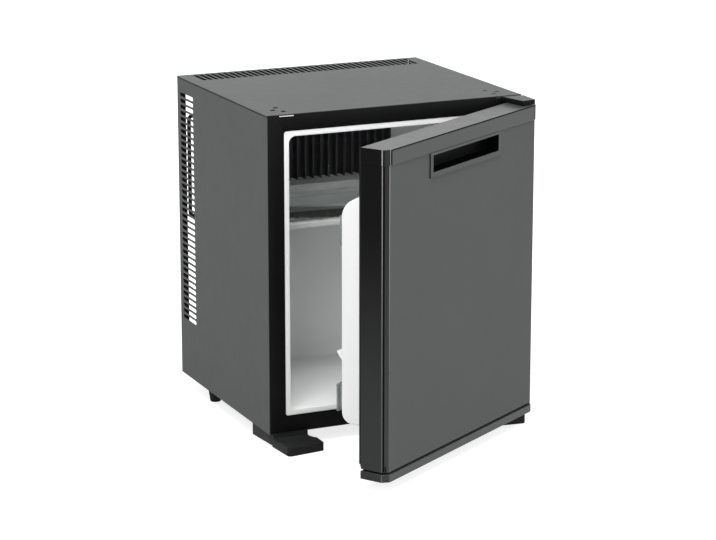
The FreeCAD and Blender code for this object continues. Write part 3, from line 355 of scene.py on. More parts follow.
# %% A finish from two colours, two gloss values and a grain
def finish(name, dark, light, gloss, grain, depth, patches=8.0, metallic=0.0, specular=0.5, pattern=mottle):
    """Principled finish whose colour and roughness wander between two values each."""
    material = bpy.data.materials.new(name)
    material.use_nodes = True
    tree = material.node_tree
    node, link = tree.nodes.new, tree.links.new
    shader = tree.nodes["Principled BSDF"]
    shader.inputs["Metallic"].default_value = metallic
    shader.inputs["Specular IOR Level"].default_value = specular
    group = node("ShaderNodeGroup")
    group.node_tree = mottle
    group.inputs["Grain per metre"].default_value = grain
    group.inputs["Patches per metre"].default_value = patches
    colour = node("ShaderNodeMix")
    colour.data_type = "RGBA"
    colour.inputs["A"].default_value = (*dark, 1.0)
    colour.inputs["B"].default_value = (*light, 1.0)
    if pattern is mottle:
        link(group.outputs["Patches"], colour.inputs["Factor"])
    else:
        crystal = node("ShaderNodeGroup")
        crystal.node_tree = pattern
        link(crystal.outputs["Shade"], colour.inputs["Factor"])
    link(colour.outputs["Result"], shader.inputs["Base Color"])
    rough = node("ShaderNodeMapRange")
    rough.inputs["To Min"].default_value, rough.inputs["To Max"].default_value = gloss
    link(group.outputs["Rubbed"], rough.inputs["Value"])
    link(rough.outputs["Result"], shader.inputs["Roughness"])
    bump = node("ShaderNodeBump")
    bump.inputs["Strength"].default_value = 1.0
    bump.inputs["Distance"].default_value = depth * MM
    link(group.outputs["Grain"], bump.inputs["Height"])
    link(bump.outputs["Normal"], shader.inputs["Normal"])
    return material


# Used for painted shade and painted highlights that change with height.
def fade_with_height(material, low, high, shade):
    """Let a finish change, from one height in metres to another, into another shade of grey."""
    tree = material.node_tree
    shader = tree.nodes["Principled BSDF"]
    before = shader.inputs["Base Color"].links[0].from_socket
    height = tree.nodes.new("ShaderNodeGroup")
    height.node_tree = rise
    height.inputs["From height"].default_value = low
    height.inputs["To height"].default_value = high
    change = tree.nodes.new("ShaderNodeMix")
    change.data_type = "RGBA"
    change.inputs["B"].default_value = (shade, shade, shade, 1.0)
    tree.links.new(height.outputs["Height"], change.inputs["Factor"])
    tree.links.new(before, change.inputs["A"])
    tree.links.new(change.outputs["Result"], shader.inputs["Base Color"])


def grey_pair(value, spread=0.06, tint=(0.975, 1.01, 1.0)):
    """Two close shades of one nearly neutral grey."""
    return ([value * (1 - spread) * part for part in tint], [value * (1 + spread) * part for part in tint])


# %% [markdown]
# ### Painted steel, plastics and rubber
# The cabinet and the door are the same satin grey. The paint is a little rougher than the moulded
# caps, so at a flat angle the caps mirror the bright room more than the lid does. The front frame and
# the gasket are nearly black, and the feet are a shade lighter. The door's ends and corner facets are
# painted nearly black as painted shade, darker towards the top, and the bends beside them carry a
# painted highlight, brighter towards the top.

# %% Finishes of the outside
paint = finish("grey_satin_paint", *grey_pair(0.092), gloss=(0.46, 0.54), grain=1800.0, depth=0.012,
               specular=0.05)
cap_plastic = finish("grey_moulded_plastic", *grey_pair(0.048), gloss=(0.27, 0.33), grain=2600.0,
                     depth=0.003, specular=0.25)
# Painted shade: the door's ends are the same grey paint as the front, painted nearly black, darker towards
# the top.
end_shade = finish("door_end_painted_shade", *grey_pair(0.04), gloss=(0.35, 0.45), grain=2600.0,
                     depth=0.008, specular=0.04)
fade_with_height(end_shade, low=0.05, high=0.4, shade=0.004)
# Painted shade: the corner facets are painted dark, darker towards the top.
facet_shade = finish("corner_facet_painted_shade", *grey_pair(0.036), gloss=(0.3, 0.4), grain=2600.0,
                       depth=0.004, specular=0.15)
fade_with_height(facet_shade, low=0.05, high=0.4, shade=0.018)
# Painted highlight: the small bends are painted light, brighter towards the top, for the lines of light along
# the corners.
bend_highlight = finish("bend_painted_highlight", *grey_pair(0.06, 0.25), gloss=(0.25, 0.4), grain=900.0,
                    depth=0.01, patches=30.0)
fade_with_height(bend_highlight, low=0.1, high=0.477, shade=0.22)
# Dark primer: the base pan's own colour, and painted shade on the insides and in the joints of the lid and
# the side panels.
primer_and_shade = finish("dark_primer_and_painted_shade", *grey_pair(0.012, 0.2), gloss=(0.5, 0.65), grain=1200.0,
                depth=0.02, specular=0.2)
# Black plastic, also used as painted shade: the collar under the door skin and the rear step of the hinge
# cover.
black_plastic = finish("black_moulded_plastic_and_painted_shade", *grey_pair(0.004, 0.15), gloss=(0.45, 0.6), grain=1600.0,
                       depth=0.02, specular=0.07)
pocket_black_and_shade = finish("black_handle_plastic_and_painted_shade", *grey_pair(0.002, 0.15), gloss=(0.35, 0.5), grain=1800.0,
                        depth=0.01, specular=0.03)
foot_plastic = finish("dark_foot_plastic", *grey_pair(0.016, 0.15), gloss=(0.45, 0.6), grain=1600.0,
                      depth=0.02, specular=0.07)
rubber = finish("black_rubber", *grey_pair(0.006, 0.2), gloss=(0.55, 0.7), grain=700.0,
                depth=0.03, specular=0.12)
screw_black = finish("blackened_screw", *grey_pair(0.012, 0.2), gloss=(0.3, 0.45), grain=2500.0,
                     depth=0.01)

# %% [markdown]
# ### The inside
# The liner and the inside of the door are vacuum formed from a white sheet: glossy, faintly uneven
# and nearly neutral. The racks are clear plastic, the shelf is float glass that looks green through
# its edges, and the lamp sits behind a frosted lens.

# %% Finishes of the inside
white_liner = finish("white_formed_sheet", (0.88, 0.885, 0.88), (0.91, 0.915, 0.91), gloss=(0.28, 0.34),
                     grain=220.0, depth=0.006, patches=14.0)
pale_trim = finish("pale_shelf_trim", (0.6, 0.61, 0.6), (0.68, 0.69, 0.68), gloss=(0.22, 0.32),
                   grain=900.0, depth=0.01)
white_plastic = finish("white_moulded_plastic", (0.7, 0.71, 0.7), (0.77, 0.78, 0.77), gloss=(0.35, 0.45),
                       grain=1500.0, depth=0.02)
knob_plastic = finish("grey_knob_plastic", (0.34, 0.35, 0.35), (0.4, 0.41, 0.41), gloss=(0.3, 0.4),
                      grain=1500.0, depth=0.02)


def clear_finish(name, dark, light, gloss, grain, depth, ior, see_through):
    """See-through finish: the same wandering colour and gloss, with most of the light let through."""
    material = finish(name, dark, light, gloss, grain, depth)
    shader = material.node_tree.nodes["Principled BSDF"]
    shader.inputs["Transmission Weight"].default_value = see_through
    shader.inputs["IOR"].default_value = ior
    return material


glass = clear_finish("float_glass", (0.82, 0.9, 0.86), (0.86, 0.93, 0.9), gloss=(0.02, 0.05),
                     grain=300.0, depth=0.002, ior=1.52, see_through=0.95)
rack_plastic = clear_finish("clear_rack_plastic", (0.88, 0.9, 0.9), (0.92, 0.94, 0.94), gloss=(0.04, 0.09),
                            grain=500.0, depth=0.003, ior=1.49, see_through=0.9)
lamp_plastic = clear_finish("frosted_lens", (0.8, 0.8, 0.76), (0.86, 0.86, 0.82), gloss=(0.4, 0.5),
                            grain=900.0, depth=0.04, ior=1.49, see_through=0.4)

# %% [markdown]
# ### Metal and foam behind the panels
# The back of the fridge shows zinc-coated sheet, dull black tubes and bare aluminium fins. Pins and
# hidden screws are bright zinc, the upper hinge plate is passivated black, and the cold fins inside are
# dark; their dark colour also stands as painted shade for the top of the inside. The foam fills the
# walls and shows nowhere, but it gets its own finish all the same, so that a cut through the part looks
# right.

# %% Finishes of the metal pieces
zinc_sheet = finish("zinc_coated_sheet", (0.3, 0.31, 0.32), (0.5, 0.51, 0.52), gloss=(0.35, 0.5),
                    grain=900.0, depth=0.01, metallic=0.7, pattern=flowers)
bright_zinc = finish("bright_zinc", (0.5, 0.5, 0.5), (0.6, 0.6, 0.58), gloss=(0.22, 0.35),
                     grain=1200.0, depth=0.008, metallic=1.0)
fin_metal = finish("bare_aluminium", (0.6, 0.6, 0.61), (0.72, 0.72, 0.73), gloss=(0.28, 0.42),
                   grain=1500.0, depth=0.01, metallic=1.0)
dark_zinc = finish("black_passivated_zinc", (0.02, 0.02, 0.022), (0.035, 0.035, 0.036), gloss=(0.4, 0.55),
                   grain=1200.0, depth=0.008, metallic=0.5)
# Dark fins: partly their own colour and partly painted shade for the top of the inside.
dark_fins = finish("dark_fins_and_painted_shade", (0.05, 0.052, 0.055), (0.075, 0.078, 0.08), gloss=(0.35, 0.5),
                   grain=1500.0, depth=0.01, metallic=0.3)
black_lacquer = finish("black_lacquered_tube", (0.012, 0.012, 0.013), (0.024, 0.024, 0.025),
                       gloss=(0.45, 0.6), grain=600.0, depth=0.03, specular=0.08)
foam = finish("rigid_foam", (0.62, 0.52, 0.3), (0.75, 0.66, 0.42), gloss=(0.8, 0.95),
              grain=500.0, depth=0.4)

# %% [markdown]
# ### Solids that keep their shape
# Folded sheets, pins and inner pieces are right as they come. They only get a finish.

# %% Finishes for the solids that stay
stay = {
    zinc_sheet: "back_plate rear_cross_rail boiler_casing",
    primer_and_shade: "base_pan",
    dark_zinc: "upper_hinge_bracket",
    bright_zinc: "upper_hinge_pin lower_hinge_plate lower_hinge_pin lower_hinge_screws "
                 "foot_screws unit_brackets lower_hinge_washer heater_cartridge",
    fin_metal: "condenser_fins",
    dark_fins: "evaporator_fins",
    white_plastic: "thermostat_body upper_hinge_bush lower_hinge_bush",
    foam: "cabinet_foam door_foam boiler_insulation",
}
for material, names in stay.items():
    for name in names.split():
        solids[name].data.materials.clear()
        solids[name].data.materials.append(material)
print("solids that stay", sum(len(names.split()) for names in stay.values()))

# %% [markdown]
# ## The lid
# A folded steel sheet with a row of air slots along its rear edge and a lip turned down behind. The
# slots could be drawn one by one, but a cutter that is modelled once and repeated by an Array modifier
# is quicker and exact. Its four upright edges are bevelled by nearly half its width, which makes round
# ends. The underside and the lip's inside are painted dark as painted shade, and the front and side
# edges are painted dark as the shade in the joints.

# %% Lid with its air slots
LID_LOW, LID_TOP = 484.0, 485.0
WIDTH, DEPTH = 400.0, 352.0
LIP_LOW, LIP_INSET, LIP_THICKNESS = 471.0, 14.0, 1.0
TOP_SLOT_PITCH, TOP_SLOTS = 9.46, 38
SLOT_FRONT, SLOT_REAR = 297.0, 345.0
SLOT_HALF, SLOT_ROUND = 3.2, 3.15
CUTTER_LOW, CUTTER_TOP = 480.0, 490.0
lid_middle = (LID_LOW + LID_TOP) / 2


def outer_edge(a, b):
    """True for the four upper edges of the lid."""
    sides = ((0, 0), (0, WIDTH), (1, 0), (1, DEPTH))
    return min(a.z, b.z) > LID_TOP - NEAR and any(
        abs(a[axis] - side) < NEAR and abs(b[axis] - side) < NEAR for axis, side in sides)


def sheet_finishes(piece, inside, joint):
    """Paint outside, and dark primer as painted shade on the faces inside and in the joint where two sheets
    meet.
    """
    two_finishes(piece, paint, primer_and_shade, lambda centre, normal: inside(centre, normal) or joint(centre, normal))


lid = block("lid", (0, 0, LID_LOW), (WIDTH, DEPTH, LID_TOP))
add(lid, block("lip", (LIP_INSET, DEPTH - LIP_THICKNESS, LIP_LOW), (WIDTH - LIP_INSET, DEPTH, lid_middle)))
first_slot = WIDTH / 2 - (TOP_SLOTS - 1) * TOP_SLOT_PITCH / 2
slot_tool = block("slot_tool", (first_slot - SLOT_HALF, SLOT_FRONT, CUTTER_LOW),
                  (first_slot + SLOT_HALF, SLOT_REAR, CUTTER_TOP))
bevel_edges(slot_tool, SLOT_ROUND, segments=5, wanted=upright)
apply_modifier(slot_tool, "ARRAY", count=TOP_SLOTS, use_relative_offset=False, use_constant_offset=True,
               constant_offset_displace=(TOP_SLOT_PITCH * MM, 0, 0))
cut(lid, slot_tool)
bevel_edges(lid, width=0.6, segments=3, wanted=outer_edge)
# Painted shade: the underside and the lip's inside are dark, and so are the front and side edges, in the
# joints.
sheet_finishes(lid, lambda centre, normal: normal.z < -0.5,
               lambda centre, normal: normal.y < -0.5 or (abs(normal.x) > 0.9 and centre.z < lid_middle))
settle(lid, "cabinet", "top_panel", None)
print("lid faces", len(lid.data.polygons))

# %% [markdown]
# ## Side panels
# Folded sheets with a column of air slots: copies of their solids. Two things make them look like
# sheet metal. The inside is painted dark as painted shade, which shows through the slots. And under the
# lid there is a joint: the copy is bisected below its top edge, the strip above is pushed in, and it is
# painted dark as the shade in the joint.

# %% Side panels
EDGE_JOINT, EDGE_SUNK = 1.9, 0.6
# A face further than this behind the outside is inside.
INNER_FACE = 0.98


def side_panel(name, node, outward):
    """A copy of a side sheet. Outward is -1 for the left one and 1 for the right one."""
    piece = softened(name, node, width=0)
    low, high = (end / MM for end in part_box(node))
    joint_low = high.z - EDGE_JOINT
    outside = high.x if outward > 0 else low.x
    split(piece, (0, 0, joint_low), (0, 0, 1))
    pick_faces(piece, lambda centre, normal: centre.z > joint_low and normal.x * outward > 0.5)
    bpy.ops.mesh.extrude_region_move(TRANSFORM_OT_translate={"value": (-EDGE_SUNK * outward * MM, 0, 0)})
    bpy.ops.object.mode_set(mode="OBJECT")
    # Painted shade: the inside faces and the joint strip under the lid are dark.
    sheet_finishes(piece, lambda centre, normal: abs(centre.x - outside) > INNER_FACE and normal.y < 0.5,
                   lambda centre, normal: centre.z > joint_low)
    return settle(piece, "cabinet", node, None, placed=True, smooth=5.0)


for name, node, outward in (("side_left", "left_side_panel", -1), ("side_right", "right_side_panel", 1)):
    panel = side_panel(name, node, outward)
    print(panel.name, "faces", len(panel.data.polygons))

# %% [markdown]
# ## Screws and plugs on the lid
# The hinge is held by three screws on the right, and the same holes on the left are closed by plugs,
# because the door can be hung on either side. A screw head starts as a flat cylinder, gets a soft rim
# and a cross cut into it. It is modelled once and copied.

# %% Lid screws and hole plugs
SCREW_PLACES = ((34.0, 21.0), (23.0, 34.0), (34.0, 50.0))
HEAD_RADIUS, HEAD_HEIGHT = 3.5, 0.8
CROSS_LONG, CROSS_THIN = 2.2, 0.45
CROSS_FLOOR, CROSS_OVERRUN = 0.3, 1.5
SHANK_RADIUS, SHANK_LENGTH, SHANK_MIDDLE = 2.0, 14.0, 478.0
STEM_RADIUS, STEM_LENGTH, STEM_MIDDLE = 1.8, 6.0, 482.0


def head_on_lid(name, rim, segments):
    """A flat round head on the lid, with a soft rim."""
    head = drum(name, (0, 0, LID_TOP + HEAD_HEIGHT / 2), HEAD_RADIUS, HEAD_HEIGHT, sides=32)
    bevel_edges(head, rim, segments, lambda a, b: min(a.z, b.z) > LID_TOP + HEAD_HEIGHT - NEAR)
    return head


def at_places(name, model, places):
    """Copies of a model, joined to one piece. The model itself is removed."""
    copies = [copy_of(model, (x, y, 0)) for x, y in places]
    bpy.data.objects.remove(model)
    piece = joined(*copies)
    piece.name = name
    return piece


screw = head_on_lid("hinge_screws", rim=0.35, segments=3)
for half_x, half_y in ((CROSS_LONG, CROSS_THIN), (CROSS_THIN, CROSS_LONG)):
    cut(screw, block("cross", (-half_x, -half_y, LID_TOP + CROSS_FLOOR),
                     (half_x, half_y, LID_TOP + CROSS_OVERRUN)))
screw = joined(screw, drum("shank", (0, 0, SHANK_MIDDLE), SHANK_RADIUS, SHANK_LENGTH, sides=20))
screws = at_places("hinge_screws", screw, [(WIDTH - x, y) for x, y in SCREW_PLACES])
settle(screws, "cabinet", "upper_hinge_screws", screw_black)

button = head_on_lid("hole_plugs", rim=0.6, segments=4)
button = joined(button, drum("stem", (0, 0, STEM_MIDDLE), STEM_RADIUS, STEM_LENGTH, sides=20))
plugs = at_places("hole_plugs_left", button, SCREW_PLACES)
settle(plugs, "cabinet", "hole_plugs", black_plastic)
print("screws and plugs", len(screws.data.polygons), len(plugs.data.polygons))

# %% [markdown]
# ## Front frame, liner and the pieces in them
# The black frame, the white liner and the small moulded pieces have the right shapes already, with
# corners and slots that would take long to draw again. So a copy of each solid is welded, its flat
# faces are made whole, and a Bevel modifier rounds the edges that a mould or a former would round.

# %% Softened copies in the cabinet
soft_pieces = [
    ("frame_front", "front_frame", "black_plastic", black_plastic, 0.5, 2),
    ("liner_shell", "inner_liner", "white_liner", white_liner, 0.9, 3),
    ("foot_left", "front_foot_left", "black_plastic", foot_plastic, 0.9, 3),
    ("foot_right", "front_foot_right", "black_plastic", foot_plastic, 0.9, 3),
    ("feet_behind", "rear_feet", "foot_rubber", rubber, 0.7, 2),
    ("thermostat_case", "thermostat_housing", "white_plastic", white_plastic, 1.0, 3),
    ("melt_tray", "drip_tray", "pale_trim", pale_trim, 0.6, 2),
    ("switch_box", "control_box", "box_plastic", black_plastic, 0.6, 2),
    ("switch_box_cover", "control_box_cover", "box_plastic", black_plastic, 0.6, 2),
    ("mains_socket", "mains_inlet", "box_plastic", black_plastic, 0.3, 2),
    ("box_screws", "control_box_screws", "bright_steel", bright_zinc, 0.25, 2),
]
for name, node, slot, material, width, segments in soft_pieces:
    piece = softened(name, node, width, segments)
    settle(piece, "cabinet", node, material, placed=True)
print("softened copies", len(soft_pieces))

# %% [markdown]
# The cover of the upper hinge is grey on top, like the lid, and its skirt is black, like the frame. A
# step along its rear edge is painted black, as painted shade in the joint in front of the lid. The blank
# of the spare hinge slot is pale in a narrow strip under the lid and black below it.

# %% Hinge cover and slot blank
JOINT_WIDTH, JOINT_DEPTH, JOINT_OVERRUN = 8.0, 2.0, 1.0
STRIP_HEIGHT = 1.2
hinge_cover = softened("hinge_cover", "upper_hinge_cover", width=0.5, segments=3)
low, high = (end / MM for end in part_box("upper_hinge_cover"))
joint_start = high.y - JOINT_WIDTH
cut(hinge_cover, block("joint", (low.x - JOINT_OVERRUN, joint_start, high.z - JOINT_DEPTH),
                       (high.x + JOINT_OVERRUN, high.y + JOINT_OVERRUN, high.z + JOINT_OVERRUN)))
# Painted shade: the rear step is black for the shade in the joint.
two_finishes(hinge_cover, paint, black_plastic,
             lambda centre, normal: normal.z < 0.5 or centre.y > joint_start)
settle(hinge_cover, "cabinet", "upper_hinge_cover", None, placed=True)
blank = softened("slot_blank", "hinge_slot_blank", width=0.25, segments=2)
strip_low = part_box("hinge_slot_blank")[1].z / MM - STRIP_HEIGHT
split(blank, (0, 0, strip_low), (0, 0, 1))
two_finishes(blank, pale_trim, black_plastic,
             lambda centre, normal: centre.z < strip_low or normal.z > 0.9)
settle(blank, "cabinet", "hinge_slot_blank", None, placed=True)

# %% [markdown]
# ## Cooling unit
# The tubes behind the back plate are bent steel. Their solids are made of flat facets, so a welded
# copy is enough: shading by angle makes the bends look round.

# %% Smooth tubes
tubes = "condenser_tube evaporator_tube absorber_coil absorber_vessel vent_pipe boiler_tube"
for node in tubes.split():
    piece = softened(node + "_smooth", node, width=0)
    settle(piece, "cabinet", node, black_lacquer, placed=True, smooth=40.0)

# %% [markdown]
# ## Shelf
# A pane of float glass with ground edges, whose front edge is clipped into a pale trim. The trim is a
# bar with a round nose; a groove along its back takes the glass.

# %% Shelf glass and trim
SHELF_LEFT, SHELF_RIGHT = 35.5, 364.5
GLASS_FRONT, GLASS_REAR = 66.0, 232.0
GLASS_LOW, GLASS_TOP = 305.0, 309.0
TRIM_FRONT, TRIM_REAR, TRIM_OVER = 62.0, 72.0, 3.0
GROOVE_OVERRUN = 8.0
pane = block("shelf_pane", (SHELF_LEFT, GLASS_FRONT, GLASS_LOW), (SHELF_RIGHT, GLASS_REAR, GLASS_TOP))
round_off(pane, width=0.5, segments=2)
settle(pane, "cabinet", "glass_shelf", glass)
trim = block("shelf_trim", (SHELF_LEFT, TRIM_FRONT, GLASS_LOW - TRIM_OVER),
             (SHELF_RIGHT, TRIM_REAR, GLASS_TOP + TRIM_OVER))
cut(trim, block("glass_groove", (0, GLASS_FRONT, GLASS_LOW), (WIDTH, TRIM_REAR + GROOVE_OVERRUN, GLASS_TOP)))
bevel_edges(trim, width=3.0, segments=5,
            wanted=lambda a, b: across(a, b) and max(a.y, b.y) < TRIM_FRONT + NEAR)
round_off(trim, width=0.4, segments=2, angle=50)
settle(trim, "cabinet", "shelf_front_trim", pale_trim)

# %% [markdown]
# ## Thermostat knob and lamp lens
# The knob needs something for fingers to hold. Its rim is drawn as a cylinder with many sides, and a
# side whose angle, counted in sides, rounds to an odd number is pushed in a little. The sides lie
# halfway between whole numbers, so the ridges come out uneven. A pale pointer stands proud of the
# knob's face. The lens is a block, and every second row of its front is pushed in, which leaves ribs.

# %% Ridged knob and ribbed lens
KNOB_X, KNOB_Y, KNOB_Z = 340.2, 135.0, 402.0
KNOB_RADIUS, KNOB_LENGTH, KNOB_SIDES = 14.0, 10.0, 36
RIDGE_BORDER, RIDGE_DEPTH = 0.25, 0.6
POINTER_LOW, POINTER_HIGH = (334.0, 133.5, KNOB_Z), (335.6, 136.5, 413.0)
SPINDLE_X, SPINDLE_RADIUS, SPINDLE_LENGTH = 351.6, 3.0, 14.8
LENS_LOW, LENS_HIGH = (344.8, 158.0, 387.0), (348.0, 182.0, 417.0)
RIB_PITCH, RIB_BORDER, RIB_DEPTH = 3.0, 0.2, 0.5
knob_face = KNOB_X - KNOB_LENGTH / 2


def pushed_in(centre, normal):
    """True for the sides of the knob's rim that make its ridges."""
    sides_round = math.atan2(normal.z, normal.y) * (KNOB_SIDES // 2) / math.pi
    return abs(normal.x) < 0.1 and round(sides_round) % 2


def lens_front(centre, normal):
    return normal.x < -0.9


def second_row(centre, normal):
    """True for every second row of the lens's front, counted upwards."""
    row = int((centre.z - LENS_LOW[2]) // RIB_PITCH)
    return lens_front(centre, normal) and row % 2 == 1


knob = drum("dial_knob", (KNOB_X, KNOB_Y, KNOB_Z), KNOB_RADIUS, KNOB_LENGTH, axis="X", sides=KNOB_SIDES)
pick_faces(knob, pushed_in)
bpy.ops.mesh.inset(thickness=RIDGE_BORDER * MM, depth=-RIDGE_DEPTH * MM, use_individual=True)
bpy.ops.object.mode_set(mode="OBJECT")
bevel_edges(knob, width=0.8, segments=3, wanted=lambda a, b: max(a.x, b.x) < knob_face + NEAR)
pointer = block("pointer", POINTER_LOW, POINTER_HIGH)
round_off(pointer, width=0.4, segments=2)
add(knob, pointer)
knob = joined(knob, drum("spindle", (SPINDLE_X, KNOB_Y, KNOB_Z), SPINDLE_RADIUS, SPINDLE_LENGTH,
                         axis="X", sides=24))
two_finishes(knob, knob_plastic, white_plastic, lambda centre, normal: centre.x < knob_face - NEAR)
settle(knob, "knob", "thermostat_knob", None)

lens = block("lamp_window", LENS_LOW, LENS_HIGH)
pick_faces(lens, lens_front)
bpy.ops.mesh.subdivide(number_cuts=9)
bpy.ops.object.mode_set(mode="OBJECT")
pick_faces(lens, second_row)
bpy.ops.mesh.inset(thickness=RIB_BORDER * MM, depth=-RIB_DEPTH * MM)
bpy.ops.object.mode_set(mode="OBJECT")
settle(lens, "cabinet", "lamp_lens", lamp_plastic)
print("knob faces", len(knob.data.polygons), "lens faces", len(lens.data.polygons))

# %% [markdown]
# ## Door skin
# The steel skin wraps round both ends of the door. Its corner is a flat facet between two small
# bends, which is why two thin lines of light run down it; the bends also carry a painted highlight,
# brighter towards the top. The facet is one wide bevel, the bends are two narrow ones. A thin groove
# runs down the facet beside the end: the piece is split along a line, and the strip behind that line is
# sunk and painted black as painted shade. A face's finish follows from the way that it looks: front,
# end, facet or bend. The ends and the facets are painted dark as painted shade, darker towards the top,
# though the skin is one grey sheet. The rear face is set in for the liner, and the handle gets its opening.

# %% Door skin
DOOR_FRONT, DOOR_BACK = -48.0, -6.5
SKIN_LOW, SKIN_TOP = 29.0, 455.0
SKIN_FACET, SKIN_BEND, CORNER_REACH = 7.4, 1.2, 8.0
REAR_BORDER, REAR_SUNK = 9.2, 2.1
OPENING_LOW, OPENING_HIGH = (111.0, DOOR_FRONT - 5, 425.0), (289.0, -25.5, 453.0)
FACET_LINE, DIAGONAL = -43.2, 0.69
GROOVE_BORDER, GROOVE_DEPTH = 0.02, 0.4
# How far to the side a face looks, on the facet and on the bends beside it.
FACET_TURN, BEND_TURNS = (0.6, 0.8), ((0.2, 0.55), (0.85, 0.97))
FRONT, END, FACET, BEND, GROOVE = range(5)


def bent_corners(piece, front, facet, bend):
    """A flat facet between two small bends, at both upright corners of the front."""
    bevel_edges(piece, facet, segments=1,
                wanted=lambda a, b: upright(a, b) and max(a.y, b.y) < front + NEAR)
    bevel_edges(piece, bend, segments=4,
                wanted=lambda a, b: upright(a, b) and max(a.y, b.y) < DOOR_FRONT + CORNER_REACH)


def sink(piece, wanted):
    """Push those faces in a little that pass a test."""
    pick_faces(piece, wanted)
    bpy.ops.mesh.inset(thickness=GROOVE_BORDER * MM, depth=-GROOVE_DEPTH * MM)
    bpy.ops.object.mode_set(mode="OBJECT")


def beside_end(centre, normal):
    """True for the strip of a facet that lies beside the end of the door."""
    return abs(normal.x) > DIAGONAL and normal.y < -DIAGONAL and centre.y > FACET_LINE


def corner_finishes(piece, front_finish, groove):
    """Front finish; ends and facets painted dark as painted shade; bends with a painted highlight; grooves
    painted black as painted shade.
    """
    for material in (front_finish, end_shade, facet_shade, bend_highlight, pocket_black_and_shade):
        piece.data.materials.append(material)
    for face in piece.data.polygons:
        turn = abs(face.normal.x)
        standing = abs(face.normal.z) < 0.3 and face.normal.y < -0.1
        face.material_index = END if turn > FACET_TURN[0] else FRONT
        if standing and FACET_TURN[0] < turn < FACET_TURN[1]:
            face.material_index = FACET
        elif standing and any(least < turn < most for least, most in BEND_TURNS):
            face.material_index = BEND
        # Painted shade: a groove is black.
        if groove(face.center / MM, face.normal):
            face.material_index = GROOVE


skin = block("door_skin", (0, DOOR_FRONT, SKIN_LOW), (WIDTH, DOOR_BACK, SKIN_TOP))
bent_corners(skin, DOOR_FRONT, SKIN_FACET, SKIN_BEND)
pick_faces(skin, lambda centre, normal: normal.y > 0.9)
bpy.ops.mesh.inset(thickness=REAR_BORDER * MM)
bpy.ops.transform.translate(value=(0, -REAR_SUNK * MM, 0))
bpy.ops.object.mode_set(mode="OBJECT")
cut(skin, block("handle_opening", OPENING_LOW, OPENING_HIGH))
round_off(skin, width=0.4, segments=2, angle=60)
split(skin, (0, FACET_LINE, 0), (0, 1, 0))
sink(skin, beside_end)
corner_finishes(skin, paint, beside_end)
settle(skin, "door", "door_panel", None, smooth=5.0)
print("door skin faces", len(skin.data.polygons))

# %% [markdown]
# ## Door caps
# Two moulded caps close the door at the top and at the bottom. Both overhang the skin a little. Their
# ends, facets and bends are painted like those of the skin. The front of the top cap has a thin groove
# along its upper edge and at both sides, split off, sunk and painted black like the one in the skin. The
# lower cap stands off by a gap: a collar, which is a second block joined to it, reaches up into the skin,
# and it is black as painted shade in the gap.

# %% Top and bottom caps
CAP_TOP, CAP_OVER_END, CAP_OVER_FRONT = 477.0, 1.0, 1.5
CAP_FACET, CAP_BEND = 8.6, 1.7
LOWER_CAP_LOW, LOWER_CAP_TOP = 15.0, 26.0
GROOVE_ABOVE, GROOVE_BESIDE = 474.9, 10.9
COLLAR_LOW, COLLAR_TOP = 25.0, 38.0
COLLAR_INSET, COLLAR_REAR_INSET = 3.0, 2.0


def cap(name, low, high):
    front = DOOR_FRONT - CAP_OVER_FRONT
    piece = block(name, (-CAP_OVER_END, front, low), (WIDTH + CAP_OVER_END, DOOR_BACK, high))
    bent_corners(piece, front, CAP_FACET, CAP_BEND)
    return piece


def around_front(centre, normal):
    """True in the top cap's groove: beside the ends, and on the front above and at both sides."""
    edge = centre.z > GROOVE_ABOVE or not GROOVE_BESIDE < centre.x < WIDTH - GROOVE_BESIDE
    return beside_end(centre, normal) or (normal.y < -0.95 and edge)


top_cap = cap("door_cap_top", SKIN_TOP, CAP_TOP)
round_off(top_cap, width=0.7, segments=3, angle=60)
for place, way in (((0, FACET_LINE, 0), (0, 1, 0)), ((0, 0, GROOVE_ABOVE), (0, 0, 1)),
                   ((GROOVE_BESIDE, 0, 0), (1, 0, 0)), ((WIDTH - GROOVE_BESIDE, 0, 0), (1, 0, 0))):
    split(top_cap, place, way)
sink(top_cap, around_front)
corner_finishes(top_cap, cap_plastic, around_front)
settle(top_cap, "door", "door_top_cap", None, smooth=5.0)
bottom_cap = cap("door_cap_bottom", LOWER_CAP_LOW, LOWER_CAP_TOP)
round_off(bottom_cap, width=0.6, segments=3, angle=60)
corner_finishes(bottom_cap, cap_plastic, lambda centre, normal: False)
collar = block("collar", (COLLAR_INSET, DOOR_FRONT + COLLAR_INSET, COLLAR_LOW),
               (WIDTH - COLLAR_INSET, DOOR_BACK - COLLAR_REAR_INSET, COLLAR_TOP))
# Painted shade: the collar is black for the shade in the gap above the lower cap.
collar.data.materials.append(black_plastic)
bottom_cap = joined(bottom_cap, collar)
settle(bottom_cap, "door", "door_bottom_cap", None, smooth=5.0)

# %% [markdown]
# ## Recessed handle
# Fingers go into a black pocket behind a raised grey bezel. The bezel is a plate with a window, and its
# left and right flanks are painted black as painted shade; the pocket is a box whose front is deleted
# before Solidify gives it walls.

# %% Bezel and pocket
BEZEL_LOW, BEZEL_HIGH = (106.0, -50.2, 420.0), (294.0, DOOR_FRONT, 454.5)
POCKET_LEFT, POCKET_RIGHT, POCKET_BACK = 113.0, 287.0, -28.0
POCKET_LOW, POCKET_TOP = 427.0, 451.0
POCKET_ROUND, POCKET_WALL = 2.5, 1.9
WINDOW_FRONT, WINDOW_REAR = -60.0, -40.0
bezel = block("handle_frame", BEZEL_LOW, BEZEL_HIGH)
cut(bezel, block("window", (POCKET_LEFT, WINDOW_FRONT, POCKET_LOW),
                 (POCKET_RIGHT, WINDOW_REAR, POCKET_TOP)))
round_off(bezel, width=0.5, segments=3, angle=50)
